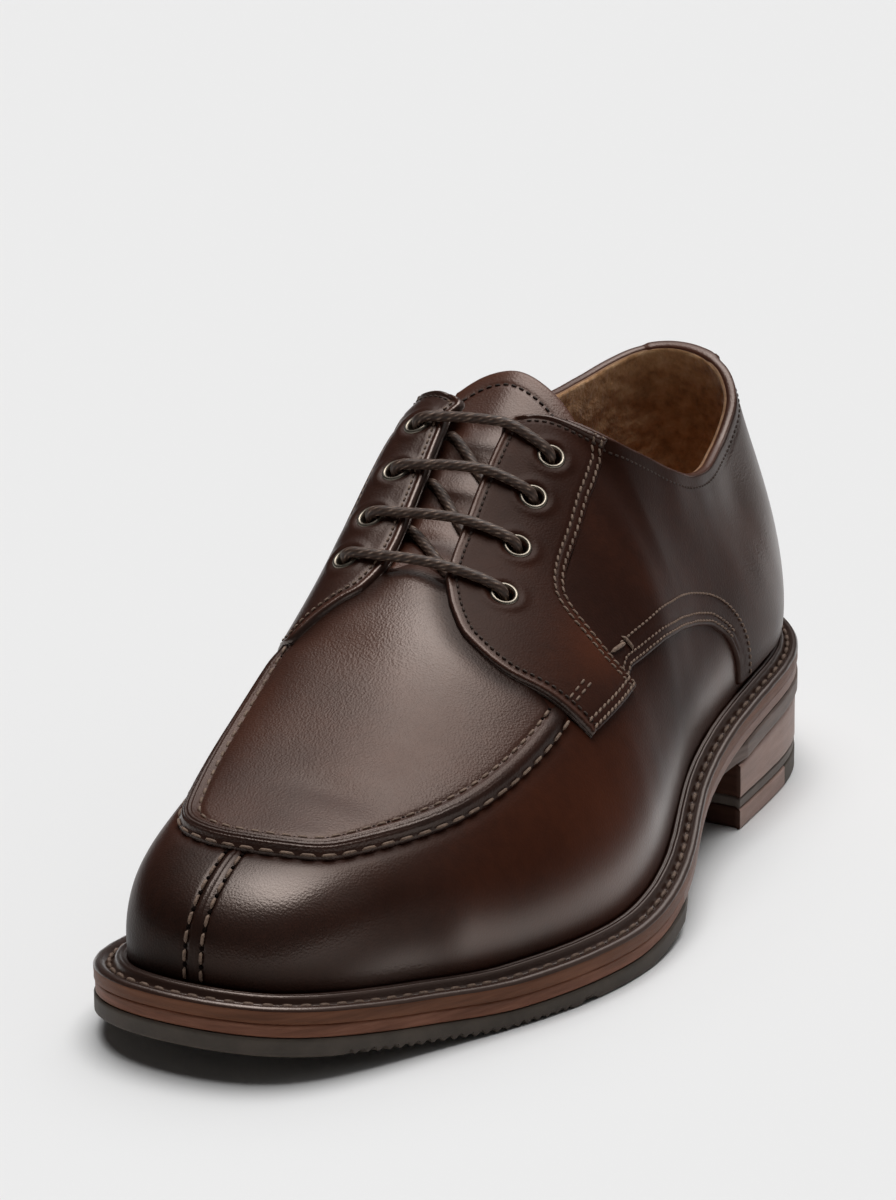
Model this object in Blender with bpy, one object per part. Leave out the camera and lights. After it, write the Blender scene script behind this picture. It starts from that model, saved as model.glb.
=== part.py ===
# Apron toe derby shoe for the left foot, standing empty on its sole.
# Frame: toe towards -Y, heel towards +Y, the wearer's left (lateral side) towards +X, floor at Z = 0.
# Tables are in millimetres and are turned into metres when a mesh is made.

import bmesh
import bpy
import numpy as np

MM = 0.001

# Driving sizes, millimetres
GAP = 0.35             # clearance between neighbouring pieces
UNDER = 0.70           # clearance under a panel that follows the upper's curve
QUARTER_UNDER = 0.95   # the same under the quarters, whose facets are longer
WALL = 2.0             # leather and lining of the upper
PANEL = 1.2            # thickness of a quarter laid over the upper
EYESTAY = 2.4          # thickness of the lace facing
STRIP = 1.1            # thickness of the back strip
PLUG = 1.2             # thickness of the apron's plug
LIP = 1.2              # further height of the plug's rolled edge
LIP_SHARE = 0.16       # share of the plug's half width that the rolled edge takes
WELT_THICK = 3.8
MIDSOLE_THICK = 3.4
OUTSOLE_THICK = 5.0
INSOLE_THICK = 4.0
BREAST_Y = 67.0        # front face of the heel
TOP_PIECE_Y = 103.0    # where the leather half of the top piece meets the rubber half
TOP_PIECE = 5.8        # height of the top piece
HEEL_BAND = 2.9        # rubber band between top piece and lifts
FACING_HALF = 8.8      # half the gap between the two lace facings
TONGUE_THICK = 2.2
TONGUE_HALF = 24.0
TONGUE_TAPER = 3.0     # how much narrower each half is at the top
TONGUE_SQUEEZE = 0.93  # width of the tongue's curve over that of the upper's
TONGUE_RISE = 18.0     # how far the tongue stands past the facings
TONGUE_ROUND = 0.97    # roundness of its top edge, 0 for straight
EYELET_OUTER = 4.1
EYELET_INNER = 2.5
EYELET_HEIGHT = 1.0
LACE_RADIUS = 1.45
LACE_CLEAR = 2.0       # how far the lace passes over the eyelets
LACE_TURN = 4.5        # how far it swings out where it turns back
LACE_CLIMB = 3.0       # distance over which it rises to them

# Plan outline of the sole edge; columns: y, lateral x, medial x
OUTLINE = (
    (-139.0, 9.5, -41.0),
    (-125.0, 21.5, -51.0),
    (-105.0, 31.8, -54.8),
    (-63.0, 50.4, -55.2),
    (-26.0, 55.7, -52.0),
    (5.0, 49.8, -47.8),
    (38.0, 38.2, -45.2),
    (68.0, 33.3, -45.6),
    (93.0, 30.8, -46.0),
    (114.0, 26.5, -42.6),
    (134.0, 14.5, -30.5),
)
TOE_TIP = (-15.0, -146.0)
HEEL_TIP = (-8.0, 146.0)

# Height of the welt's upper face; columns: y, z
SOLE_LINE = (
    (-146.0, 21.2), (-124.0, 17.7), (-104.0, 14.9), (-76.0, 12.2), (-40.0, 12.2),
    (4.0, 17.3), (38.0, 25.0), (68.0, 31.5), (93.0, 34.2), (146.0, 36.2),
)
# How far the welt stands out past the upper; columns: y, width
WELT_EXTENSION = ((-146.0, 9.0), (-40.0, 8.0), (40.0, 6.8), (146.0, 6.5))

# Profile of the storm welt; columns: distance out from the upper, height over the welt's face.
# None stands for the outer edge. The bead lies against the upper.
WELT_PROFILE = (
    (None, -3.8), (None, -0.9), (-0.9, 0.0), (4.5, 0.0), (3.6, 2.2), (2.3, 2.3), (1.7, 0.0),
    (-2.4, 0.0), (-2.4, -3.8),
)

# Sections of the last from toe centre to heel centre.
# y: where the section leaves the sole edge; top: its upper end, on the ridge line and then on the collar;
# out1, up1: handle at the feather; out2, drop2: handle at the top; slope: ridge slope;
# swing: share of the sole edge's fore and aft turn that the top handle follows
POLE = (-16.0, -97.0, 54.0)
RIDGE = (
    (-17.5, -80.0, 59.5),
    (-19.0, -55.0, 70.0),
    (-20.5, -26.0, 85.0),
    (-21.2, -10.0, 93.5),
    (-22.8, 12.0, 106.0),
    (-24.15, 31.5, 118.1),
)
BACK = (-19.0, 133.0, 112.2)
# columns: name, slope, swing, lateral (y, top, out1, up1, out2, drop2), medial (the same)
SECTIONS = (
    ("toe", 0.28, 1.0, (-146.0, POLE, 5.0, 22.0, 26.0, 0.0), (-146.0, POLE, 5.0, 22.0, 26.0, 0.0)),
    ("toe corner", 0.28, 1.0, (-139.0, POLE, 5.0, 24.0, 24.0, 0.0),
     (-139.0, POLE, 5.0, 24.0, 24.0, 0.0)),
    ("toe side", 0.28, 1.0, (-124.0, POLE, 5.0, 28.0, 24.0, 0.0), (-124.0, POLE, 5.0, 28.0, 24.0, 0.0)),
    ("wing", 0.30, 1.0, (-102.0, POLE, 6.0, 32.0, 30.0, 0.0), (-102.0, POLE, 4.5, 34.0, 29.0, 0.0)),
    ("fore ball", 0.36, 0.7, (-80.0, RIDGE[0], 7.0, 34.0, 38.0, 0.0),
     (-80.0, RIDGE[0], 5.0, 42.0, 30.0, 0.0)),
    ("ball", 0.46, 0.3, (-50.0, RIDGE[1], 8.0, 36.0, 42.0, 0.0),
     (-50.0, RIDGE[1], 6.5, 54.0, 32.0, 0.0)),
    ("vamp", 0.52, 0.0, (-18.0, RIDGE[2], 7.0, 40.0, 38.0, 0.0),
     (-20.0, RIDGE[2], 9.0, 65.0, 35.0, 0.0)),
    ("throat", 0.55, 0.0, (0.0, RIDGE[3], 5.0, 42.0, 34.0, 2.0),
     (-3.0, RIDGE[3], 10.0, 70.0, 37.0, 1.0)),
    ("instep", 0.58, 0.0, (17.0, RIDGE[4], 4.0, 44.0, 27.0, 2.5),
     (13.0, RIDGE[4], 12.0, 73.0, 38.0, 1.5)),
    ("instep top", 0.60, 0.0, (27.5, RIDGE[5], 5.0, 47.0, 29.5, 3.3),
     (24.5, RIDGE[5], 12.0, 69.0, 36.5, 2.6)),
    ("facing top", 0.30, 0.0, (37.0, (-11.5, 38.0, 118.6), 5.5, 46.0, 16.0, 9.0),
     (35.0, (-37.0, 37.8, 119.8), 11.0, 60.0, 20.0, 8.0)),
    ("collar front", 0.0, 0.0, (48.0, (5.2, 45.0, 112.0), 4.0, 38.0, 5.0, 19.0),
     (46.0, (-49.0, 45.5, 114.5), 10.0, 48.0, 8.0, 18.0)),
    ("collar 2", 0.0, 0.5, (61.0, (9.0, 58.5, 103.6), 3.0, 30.0, 3.5, 22.0),
     (59.0, (-49.0, 58.0, 111.0), 8.0, 38.0, 4.0, 22.0)),
    ("collar 3", 0.0, 1.0, (74.0, (10.8, 69.0, 97.6), 3.0, 25.0, 3.0, 22.0),
     (73.0, (-47.0, 70.0, 107.5), 6.5, 32.0, 2.0, 24.0)),
    ("ankle dip", 0.0, 1.0, (86.0, (10.7, 80.0, 93.3), 4.0, 24.0, 3.0, 22.0),
     (85.0, (-44.0, 82.0, 105.0), 5.0, 28.0, 0.0, 25.0)),
    ("collar 5", 0.0, 1.0, (98.0, (9.4, 91.0, 91.8), 4.0, 24.0, 3.0, 22.0),
     (98.0, (-40.5, 95.0, 104.5), 5.0, 28.0, 0.0, 25.0)),
    ("collar 6", 0.0, 1.0, (112.0, (6.5, 104.0, 93.6), 5.5, 25.0, 4.0, 24.0),
     (112.0, (-38.5, 108.0, 105.5), 5.0, 28.0, 1.0, 26.0)),
    ("heel side", 0.0, 1.0, (128.0, (3.0, 121.0, 103.0), 6.5, 27.0, 6.0, 27.0),
     (127.0, (-35.0, 120.0, 108.0), 5.0, 29.0, 2.5, 28.0)),
    ("heel corner", 0.0, 1.0, (140.0, (-6.0, 130.0, 110.6), 6.5, 28.0, 8.0, 30.0),
     (139.0, (-29.0, 130.0, 110.8), 5.5, 29.0, 5.5, 30.0)),
    ("heel", 0.0, 1.0, (146.0, BACK, 5.5, 28.0, 8.0, 32.0), (146.0, BACK, 5.5, 28.0, 8.0, 32.0)),
)
LATERAL, MEDIAL = 1, -1
SIDES = {LATERAL: "lateral", MEDIAL: "medial"}

# Panel lines on the last; columns: share of the way from toe to heel, share of the way up the section
APRON_LINE = {
    LATERAL: ((0.0, 0.720), (0.064, 0.671), (0.120, 0.605), (0.182, 0.572), (0.214, 0.530),
              (0.242, 0.508), (0.263, 0.500), (0.300, 0.492)),
    MEDIAL: ((0.0, 0.720), (0.045, 0.680), (0.085, 0.625), (0.130, 0.578), (0.180, 0.543),
             (0.223, 0.525), (0.260, 0.530), (0.300, 0.550)),
}
# Rear end of the plug; columns: share up the section, share along the shoe
PLUG_END = ((0.48, 0.295), (0.56, 0.295), (0.69, 0.294), (0.80, 0.301), (0.87, 0.316),
            (0.93, 0.334), (1.0, 0.340))
STAY_FRONT = ((0.309, 0.431), (0.307, 0.563), (0.304, 0.686), (0.313, 0.800), (0.330, 0.862),
              (0.352, 0.897))
STAY_BACK = ((0.391, 0.366), (0.383, 0.477), (0.385, 0.562), (0.391, 0.615), (0.405, 0.633), (0.439, 0.637),
             (0.455, 0.646), (0.483, 0.666), (0.541, 0.777), (0.560, 0.890), (0.573, 1.0))
QUARTER_LOW = ((0.397, 0.394), (0.464, 0.326), (0.523, 0.328), (0.581, 0.339), (0.643, 0.342),
               (0.680, 0.276), (0.695, 0.180), (0.701, 0.055), (0.745, 0.045), (0.997, 0.048))
THROAT_START, THROAT_FULL = 0.345, 0.361
FACING_START = 0.357
COLLAR_START = 0.515
CORNER = 9             # row where the ridge line ends and the collar begins
INSTEP_TOP = CORNER / (len(SECTIONS) - 1)
PANEL_GAP = 0.007
# Half width of the back strip as a share of the way round; columns: share up the section, share
STRIP_LOW = 0.055
STRIP_EDGE = ((0.0, 0.026), (0.6, 0.032), (1.0, 0.050))
# Eyelets from the throat up; columns: share along the shoe, distance from the centre line
EYELETS = ((0.355, 24.4), (0.396, 21.2), (0.432, 19.3), (0.463, 19.1))


def pchip(x, y, query):
    """Monotone cubic through the rows (x, y); y may have columns."""
    x = np.asarray(x, float)
    y = np.asarray(y, float)
    flat = y.reshape(len(x), -1)
    step = np.diff(x)[:, None]
    rise = np.diff(flat, axis=0) / step
    slope = np.zeros_like(flat)
    slope[0], slope[-1] = rise[0], rise[-1]
    near, far = 2 * step[1:] + step[:-1], step[1:] + 2 * step[:-1]
    agree = rise[:-1] * rise[1:] > 0
    safe_a = np.where(agree, rise[:-1], 1.0)
    safe_b = np.where(agree, rise[1:], 1.0)
    slope[1:-1] = np.where(agree, (near + far) / (near / safe_a + far / safe_b), 0.0)
    q = np.atleast_1d(np.asarray(query, float))
    k = np.clip(np.searchsorted(x, q, side="right") - 1, 0, len(x) - 2)
    h = step[k]
    t = (q - x[k])[:, None] / h
    value = (1 + 2 * t) * (1 - t) ** 2 * flat[k] + t * (1 - t) ** 2 * h * slope[k]
    value += t * t * (3 - 2 * t) * flat[k + 1] + t * t * (t - 1) * h * slope[k + 1]
    return value.reshape((len(q),) + y.shape[1:])


def lookup(table, query):
    """Value of a two-column table, held constant past its ends."""
    rows = np.array(table)
    return pchip(rows[:, 0], rows[:, 1], np.clip(query, rows[0, 0], rows[-1, 0]))


def closed_spline(points, per_span=24):
    """Smooth closed curve through points in the plane."""
    p = np.array(points, float)
    n = len(p)
    after = np.roll(p, -1, 0)
    span = np.linalg.norm(after - p, axis=1)
    matrix = np.zeros((n, n))
    right = np.zeros((n, 2))
    for i in range(n):
        before, here = span[i - 1], span[i]
        matrix[i, i - 1] += before
        matrix[i, i] += 2 * (before + here)
        matrix[i, (i + 1) % n] += here
        right[i] = 6 * ((after[i] - p[i]) / here - (p[i] - p[i - 1]) / before)
    bend = np.linalg.solve(matrix, right)
    t = np.linspace(0, 1, per_span, endpoint=False)[:, None]
    runs = []
    for i in range(n):
        j = (i + 1) % n
        curve = ((1 - t) ** 3 - (1 - t)) * bend[i] + (t ** 3 - t) * bend[j]
        runs.append((1 - t) * p[i] + t * p[j] + span[i] ** 2 / 6 * curve)
    return np.concatenate(runs)


def outline_arcs():
    """The outline's two halves, toe tip to heel tip: points, outward normals, running length."""
    lateral = [(row[1], row[0]) for row in OUTLINE]
    medial = [(row[2], row[0]) for row in OUTLINE[::-1]]
    loop = closed_spline([TOE_TIP] + lateral + [HEEL_TIP] + medial)
    split = len(loop) * (len(OUTLINE) + 1) // (2 * len(OUTLINE) + 2)
    tangent = np.roll(loop, -1, 0) - np.roll(loop, 1, 0)
    tangent /= np.linalg.norm(tangent, axis=1)[:, None]
    outward = np.stack([tangent[:, 1], -tangent[:, 0]], 1)
    ring = np.concatenate([np.concatenate([loop, outward], 1), np.concatenate([loop, outward], 1)[:1]])
    arcs = {}
    for side, rows in ((LATERAL, ring[:split + 1]), (MEDIAL, ring[split:][::-1])):
        arc, normal = rows[:, :2], rows[:, 2:]
        length = np.concatenate([[0], np.cumsum(np.linalg.norm(np.diff(arc, axis=0), axis=1))])
        arcs[side] = (arc, normal, length)
    return arcs


ARCS = outline_arcs()


def edge_point(side, length):
    """Point and outward normal on the sole edge at a running length."""
    arc, normal, run = ARCS[side]
    point = np.stack([np.interp(length, run, arc[:, i]) for i in (0, 1)], -1)
    out = np.stack([np.interp(length, run, normal[:, i]) for i in (0, 1)], -1)
    return point, out / np.linalg.norm(out, axis=-1, keepdims=True)


def edge_length(side, y):
    """Running length at which the sole edge passes y."""
    arc, _, run = ARCS[side]
    return np.interp(y, np.maximum.accumulate(arc[:, 1]), run)


def section_handles(side, u):
    """The four handles of the last's section curves at the shares u of the way from toe to heel."""
    rows = [(row[3] if side == LATERAL else row[4]) for row in SECTIONS]
    place = np.linspace(0, 1, len(rows))
    length = np.array([edge_length(side, row[0]) for row in rows])
    length[0], length[-1] = 0.0, ARCS[side][2][-1]
    length = pchip(place, length, u)
    tops = np.array([row[1] for row in rows])
    ridge = pchip(place[:CORNER + 1], tops[:CORNER + 1], np.minimum(u, INSTEP_TOP))
    collar = pchip(place[CORNER:], tops[CORNER:], np.maximum(u, INSTEP_TOP))
    top = np.where((u <= INSTEP_TOP)[:, None], ridge, collar)
    slope, swing = pchip(place, np.array([row[1:3] for row in SECTIONS]), u).T
    handle = pchip(place, np.array([row[2:] for row in rows]), u)
    edge, out = edge_point(side, length)
    feather = edge - out * lookup(WELT_EXTENSION, edge[:, 1])[:, None]
    height = lookup(SOLE_LINE, feather[:, 1]) + GAP
    foot = np.concatenate([feather, height[:, None]], 1)
    outward = np.concatenate([out, np.zeros((len(out), 1))], 1)
    up = np.array([0.0, 0.0, 1.0])
    low = foot + outward * handle[:, 0:1] + up * handle[:, 1:2]
    lead = outward * np.stack([np.ones_like(swing), swing, np.ones_like(swing)], 1)
    lead /= np.linalg.norm(lead, axis=1)[:, None]
    fall = slope * lead[:, 1] * handle[:, 2] - handle[:, 3]
    high = top + lead * handle[:, 2:3] + up * fall[:, None]
    return foot, low, high, top


def last_points(side, u, t):
    """Points of the last at shares u (toe to heel) and t (feather to top), arrays of one shape."""
    u = np.asarray(u, float)
    t = np.asarray(t, float)
    foot, low, high, top = section_handles(side, u.ravel())
    s = t.ravel()[:, None]
    point = (1 - s) ** 3 * foot + 3 * s * (1 - s) ** 2 * low + 3 * s * s * (1 - s) * high + s ** 3 * top
    return point.reshape(u.shape + (3,))


def last_normal(side, u, t, step=0.004):
    """Outward unit normal of the last at single shares u and t."""
    su = step if u < 0.5 else -step
    st = step if t < 0.5 else -step
    at = last_points(side, np.array([u, u + su, u]), np.array([t, t, t + st]))
    normal = np.cross((at[1] - at[0]) * np.sign(su), (at[2] - at[0]) * np.sign(st)) * side
    return normal / np.linalg.norm(normal)


def centre_x(u):
    """X of the throat's centre line."""
    return section_handles(LATERAL, np.minimum(np.atleast_1d(u), INSTEP_TOP))[3][:, 0]


def share_at(side, u, half):
    """Share up the section at u where it lies half a width from the centre line, 1 where it ends sooner."""
    t = np.linspace(0.35, 1.0, 131)
    reach = np.abs(last_points(side, np.full_like(t, u), t)[:, 0] - centre_x(u)[0])
    inside = np.nonzero(reach >= half)[0]
    k = inside[-1] if len(inside) else 0
    if k == len(t) - 1:
        return 1.0
    part = (reach[k] - half) / max(reach[k] - reach[k + 1], 1e-9)
    return float(t[k] + (t[k + 1] - t[k]) * part)


def top_share(side, u):
    """Share at which the upper ends: on the ridge, then on the facing edge, then on the collar."""
    if u <= THROAT_START or u >= COLLAR_START:
        return 1.0
    open_part = min(1.0, (u - THROAT_START) / (THROAT_FULL - THROAT_START))
    half = FACING_HALF * np.sqrt(1 - (1 - open_part) ** 2)
    return share_at(side, u, half)


def weld(grids, offsets):
    """Join grids of points into vertices, outward faces and an offset for each vertex."""
    index, points, lift, faces = {}, [], [], []
    for grid, offset in zip(grids, offsets):
        rows, cols = grid.shape[:2]
        number = np.zeros((rows, cols), int)
        for i in range(rows):
            for j in range(cols):
                key = tuple(np.round(grid[i, j], 3))
                if key not in index:
                    index[key] = len(points)
                    points.append(grid[i, j])
                    lift.append(offset[i, j])
                number[i, j] = index[key]
        for i in range(rows - 1):
            for j in range(cols - 1):
                ring = [number[i, j], number[i + 1, j], number[i + 1, j + 1], number[i, j + 1]]
                face = [v for k, v in enumerate(ring) if v != ring[k - 1]]
                if len(set(face)) == len(face) > 2:
                    faces.append(face)
    return np.array(points), faces, np.array(lift)


def vertex_normals(points, faces):
    """Area weighted unit normals."""
    total = np.zeros_like(points)
    for face in faces:
        corner = points[face]
        area = np.zeros(3)
        for k in range(1, len(face) - 1):
            area += np.cross(corner[k] - corner[0], corner[k + 1] - corner[0])
        total[face] += area
    return total / np.linalg.norm(total, axis=1)[:, None]


def make_object(name, points, faces, colour, roughness=0.5, metallic=0.0):
    """A named mesh object in metres with its own material."""
    mesh = bpy.data.meshes.new(name)
    mesh.from_pydata([tuple(p * MM) for p in points], [], faces)
    solid = bmesh.new()
    solid.from_mesh(mesh)
    bmesh.ops.triangulate(solid, faces=solid.faces[:])
    solid.to_mesh(mesh)
    solid.free()
    mesh.validate()
    mesh.shade_smooth()
    mesh.set_sharp_from_angle(angle=np.radians(40))
    material = bpy.data.materials.new(name)
    material.use_nodes = True
    shader = material.node_tree.nodes["Principled BSDF"]
    shader.inputs["Base Color"].default_value = (*colour, 1.0)
    shader.inputs["Roughness"].default_value = roughness
    shader.inputs["Metallic"].default_value = metallic
    mesh.materials.append(material)
    made = bpy.data.objects.new(name, mesh)
    bpy.context.scene.collection.objects.link(made)
    return made


def shell(name, grids, low, highs, colour, roughness=0.4):
    """A closed wall between two offsets from a surface given as grids that share their edges."""
    points, faces, lift = weld(grids, highs)
    normal = vertex_normals(points, faces)
    n = len(points)
    both = np.concatenate([points + normal * lift[:, None], points + normal * low])
    solid = list(faces) + [[v + n for v in face[::-1]] for face in faces]
    edges = {(a, b) for face in faces for a, b in zip(face, face[1:] + face[:1])}
    solid += [[b, a, a + n, b + n] for a, b in edges if (b, a) not in edges]
    return make_object(name, both, solid, colour, roughness)


def facing_out(side, grid):
    """Turn a grid (along the shoe, up the section) so that its faces point outward on either side."""
    return grid if side == LATERAL else grid[::-1]


def even(grid, value):
    """The same offset on every point of a grid."""
    return np.full(grid.shape[:2], value)


def line_points(table, count):
    """Points spread evenly along a smooth line through a table's rows."""
    rows = np.array(table, float)
    run = np.concatenate([[0], np.cumsum(np.linalg.norm(np.diff(rows, axis=0), axis=1))])
    return pchip(run / run[-1], rows, np.linspace(0, 1, count))


def spread(side, line, count):
    """Resample a line of shares so that its points lie evenly in space."""
    place = last_points(side, line[:, 0], line[:, 1])
    run = np.concatenate([[0], np.cumsum(np.linalg.norm(np.diff(place, axis=0), axis=1))])
    even_run = np.linspace(0, run[-1], count)
    return np.stack([np.interp(even_run, run, line[:, i]) for i in (0, 1)], 1)


def patch(left, right, bottom, top):
    """Grid of shares filled in between four lines: rows go along bottom and top, columns up the sides."""
    a = np.linspace(0, 1, len(bottom))[:, None, None]
    b = np.linspace(0, 1, len(left))[None, :, None]
    blend = (1 - a) * left[None] + a * right[None] + (1 - b) * bottom[:, None] + b * top[:, None]
    corner = (1 - a) * (1 - b) * left[0] + a * (1 - b) * right[0]
    corner = corner + (1 - a) * b * left[-1] + a * b * right[-1]
    return blend - corner


def plate(name, inset, low, high, colour, start_y=None, end_y=None, stations=36, roughness=0.5):
    """A solid between two heights, inside the sole edge, over the whole length or a part of it."""
    rims = {}
    for side in (LATERAL, MEDIAL):
        first = 0.0 if start_y is None else edge_length(side, start_y)
        last = ARCS[side][2][-1] if end_y is None else edge_length(side, end_y)
        turn = (1 - np.cos(np.linspace(0, np.pi, stations))) / 2
        mixed = 0.5 * turn + 0.5 * np.linspace(0, 1, stations)
        edge, out = edge_point(side, first + (last - first) * mixed)
        rims[side] = edge - out * inset(edge[:, 1])[:, None]
    if start_y is None:
        rims[MEDIAL][0] = rims[LATERAL][0]
    if end_y is None:
        rims[MEDIAL][-1] = rims[LATERAL][-1]
    grids = []
    for height in (low, high):
        pair = [np.concatenate([rim, height(rim[:, 1])[:, None]], 1) for rim in (rims[LATERAL], rims[MEDIAL])]
        grids.append(pair)
    (low_l, low_m), (high_l, high_m) = grids
    ring = np.stack([low_m, low_l, high_l, high_m, low_m], 1)
    points, faces, _ = weld([ring], [even(ring, 0.0)])
    ends = [tuple(np.round(p, 3)) for p in points]
    find = {key: k for k, key in enumerate(ends)}
    for station, flip in ((0, 1), (stations - 1, -1)):
        cap = [find[tuple(np.round(p[station], 3))] for p in (low_m, low_l, high_l, high_m)][::flip]
        if len(set(cap)) == 4:
            faces.append(cap)
    return make_object(name, points, faces, colour, roughness)


def below_welt(depth, least=None):
    """Height function that lies a depth under the welt's face, no lower than a least height."""
    if least is None:
        return lambda y: lookup(SOLE_LINE, y) - depth
    return lambda y: np.maximum(lookup(SOLE_LINE, y) - depth, least)


def level(height):
    """Height function of a level face."""
    return lambda y: np.full_like(y, height)


def build_sole():
    """Outsole, midsole, insole and the three pieces of the heel."""
    flush = level(0.0)
    under_welt = WELT_THICK + GAP
    under_mid = under_welt + MIDSOLE_THICK + GAP
    plate("midsole", level(0.5), below_welt(under_welt + MIDSOLE_THICK), below_welt(under_welt),
          (0.16, 0.055, 0.035))
    plate("outsole", flush, below_welt(under_mid + OUTSOLE_THICK - GAP, 0.0), below_welt(under_mid),
          (0.035, 0.036, 0.032), roughness=0.7)
    past_wall = lambda y: lookup(WELT_EXTENSION, y) + WALL + 1.0
    plate("insole", past_wall, below_welt(WELT_THICK), below_welt(WELT_THICK - INSOLE_THICK),
          (0.35, 0.22, 0.13))
    seat = under_mid + OUTSOLE_THICK
    plate("heel_lifts", level(0.8), level(TOP_PIECE + HEEL_BAND + GAP), below_welt(seat),
          (0.14, 0.06, 0.045), start_y=BREAST_Y, stations=24)
    plate("heel_band", level(0.8), level(TOP_PIECE + GAP), level(TOP_PIECE + HEEL_BAND),
          (0.03, 0.033, 0.03), start_y=BREAST_Y, stations=24, roughness=0.7)
    plate("heel_toplift_rubber", level(0.8), level(0.0), level(TOP_PIECE), (0.03, 0.033, 0.03),
          start_y=TOP_PIECE_Y + GAP, stations=18, roughness=0.7)
    plate("heel_toplift_leather", level(0.8), level(0.0), level(TOP_PIECE), (0.15, 0.07, 0.05),
          start_y=BREAST_Y, end_y=TOP_PIECE_Y, stations=8)


def build_welt(stations=32):
    """The storm welt: its profile swept round the sole edge."""
    rings = []
    for side in (LATERAL, MEDIAL):
        total = ARCS[side][2][-1]
        turn = (1 - np.cos(np.linspace(0, np.pi, stations))) / 2
        run = total * (0.5 * turn + 0.5 * np.linspace(0, 1, stations))
        edge, out = edge_point(side, run)
        reach = lookup(WELT_EXTENSION, edge[:, 1])
        ring = np.zeros((stations, len(WELT_PROFILE), 3))
        for k, (away, height) in enumerate(WELT_PROFILE):
            distance = reach if away is None else (reach + away if away == -0.9 else np.full_like(reach, away))
            ring[:, k, :2] = edge - out * (reach - distance)[:, None]
            ring[:, k, 2] = lookup(SOLE_LINE, ring[:, k, 1]) + height
        rings.append(ring if side == LATERAL else ring[::-1])
    rings[1][0] = rings[0][-1]
    rings[1][-1] = rings[0][0]
    closed = [np.concatenate([ring, ring[:, :1]], 1) for ring in rings]
    points, faces, _ = weld(closed, [even(ring, 0.0) for ring in closed])
    make_object("welt", points, faces, (0.055, 0.025, 0.018), 0.35)


def upper_columns():
    """Shares along the shoe at which the upper has a column, closer at toe, throat and heel."""
    return np.concatenate([
        np.linspace(0.0, 0.18, 7)[:-1], np.linspace(0.18, 0.333, 6)[:-1],
        np.array([0.333, 0.345, 0.347, 0.350, 0.355, 0.361]), np.linspace(0.380, 0.474, 5)[:-1],
        np.linspace(0.474, 0.58, 9)[:-1], np.linspace(0.58, 0.82, 6)[:-1], np.linspace(0.82, 1.0, 9),
    ])


def build_upper(rows=12):
    """The hollow wall of the upper, open at collar, throat and underneath."""
    grids = []
    for side in (LATERAL, MEDIAL):
        u = upper_columns()
        tops = np.array([top_share(side, value) for value in u])
        rise = np.linspace(0, 1, rows) ** 0.8
        t = rise[None] * tops[:, None]
        grids.append(facing_out(side, last_points(side, np.repeat(u[:, None], rows, 1), t)))
    return shell("upper", grids, -WALL, [even(g, 0.0) for g in grids], (0.06, 0.022, 0.014), 0.3)


def build_apron(along=18, across=7):
    """The raised plug of the apron with its rolled edge."""
    grids, lifts = [], []
    for side in (LATERAL, MEDIAL):
        a = np.linspace(0, 1, along)
        b = np.linspace(0, 1, across) ** 1.5
        u = np.zeros((along, across))
        t = np.zeros((along, across))
        lift = np.zeros((along, across))
        for j, share in enumerate(b):
            guess = 0.5 + 0.5 * share
            for _ in range(4):
                end = lookup(PLUG_END, guess)[0]
                rim = lookup(APRON_LINE[side], end)[0]
                guess = rim + (1 - rim) * share
            u[:, j] = a * end
            rims = lookup(APRON_LINE[side], u[:, j])
            t[:, j] = rims + (1 - rims) * share
            rolled = max(0.0, 1 - share / LIP_SHARE)
            lift[:, j] = UNDER + PLUG + LIP * np.sqrt(rolled)
        grids.append(facing_out(side, last_points(side, u, t)))
        lifts.append(lift if side == LATERAL else lift[::-1])
    return shell("apron", grids, UNDER, lifts, (0.065, 0.025, 0.016), 0.3)


def stay_lines(side, count):
    """Front, back, bottom and top lines of a lace facing, in shares."""
    facing_u = np.linspace(FACING_START, INSTEP_TOP + 0.045, 16)
    facing = np.array([(u, top_share(side, u)) for u in facing_u])
    facing = facing[facing[:, 1] < 0.9999]
    corner = (facing[-1, 0] + 0.003, 1.0)
    front = np.concatenate([line_points(STAY_FRONT, 16), facing, [corner]])
    back = line_points(STAY_BACK, 30)
    bottom = np.array([STAY_FRONT[0], STAY_BACK[0]])
    top = np.array([corner, (STAY_BACK[-1][0], 1.0)])
    return spread(side, front, count), spread(side, back, count), bottom, top


def build_eyestay(side, across=6, up=20):
    """The lace facing with its tab, over the upper."""
    front, back, bottom, top = stay_lines(side, up)
    share = np.linspace(0, 1, across)[:, None]
    foot = bottom[0] + (bottom[1] - bottom[0]) * share
    head = top[0] + (top[1] - top[0]) * share
    shares = patch(front, back, foot, head)
    grid = facing_out(side, last_points(side, shares[..., 0], shares[..., 1]))
    return shell("eyestay_" + SIDES[side], [grid], UNDER, [even(grid, UNDER + EYESTAY)], (0.06, 0.023, 0.015), 0.3)


def build_quarter(side, along=20, up=11):
    """The quarter behind the facing, with its curved lower edge over the vamp."""
    shift = np.array([PANEL_GAP, 0.0])
    front = line_points(STAY_BACK, 60) + shift
    front = spread(side, front[front[:, 1] >= QUARTER_LOW[0][1]], up)
    low = spread(side, line_points(QUARTER_LOW, 60), along)
    low[0] = front[0]
    head = np.stack([np.linspace(front[-1, 0], QUARTER_LOW[-1][0], 40), np.ones(40)], 1)
    head = spread(side, head, along)
    rear = np.stack([np.full(up, QUARTER_LOW[-1][0]), np.linspace(QUARTER_LOW[-1][1], 1.0, up)], 1)
    shares = patch(front, rear, low, head)
    grid = facing_out(side, last_points(side, shares[..., 0], shares[..., 1]))
    high = even(grid, QUARTER_UNDER + PANEL)
    return shell("quarter_" + SIDES[side], [grid], QUARTER_UNDER, [high], (0.055, 0.02, 0.013), 0.3)


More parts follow.
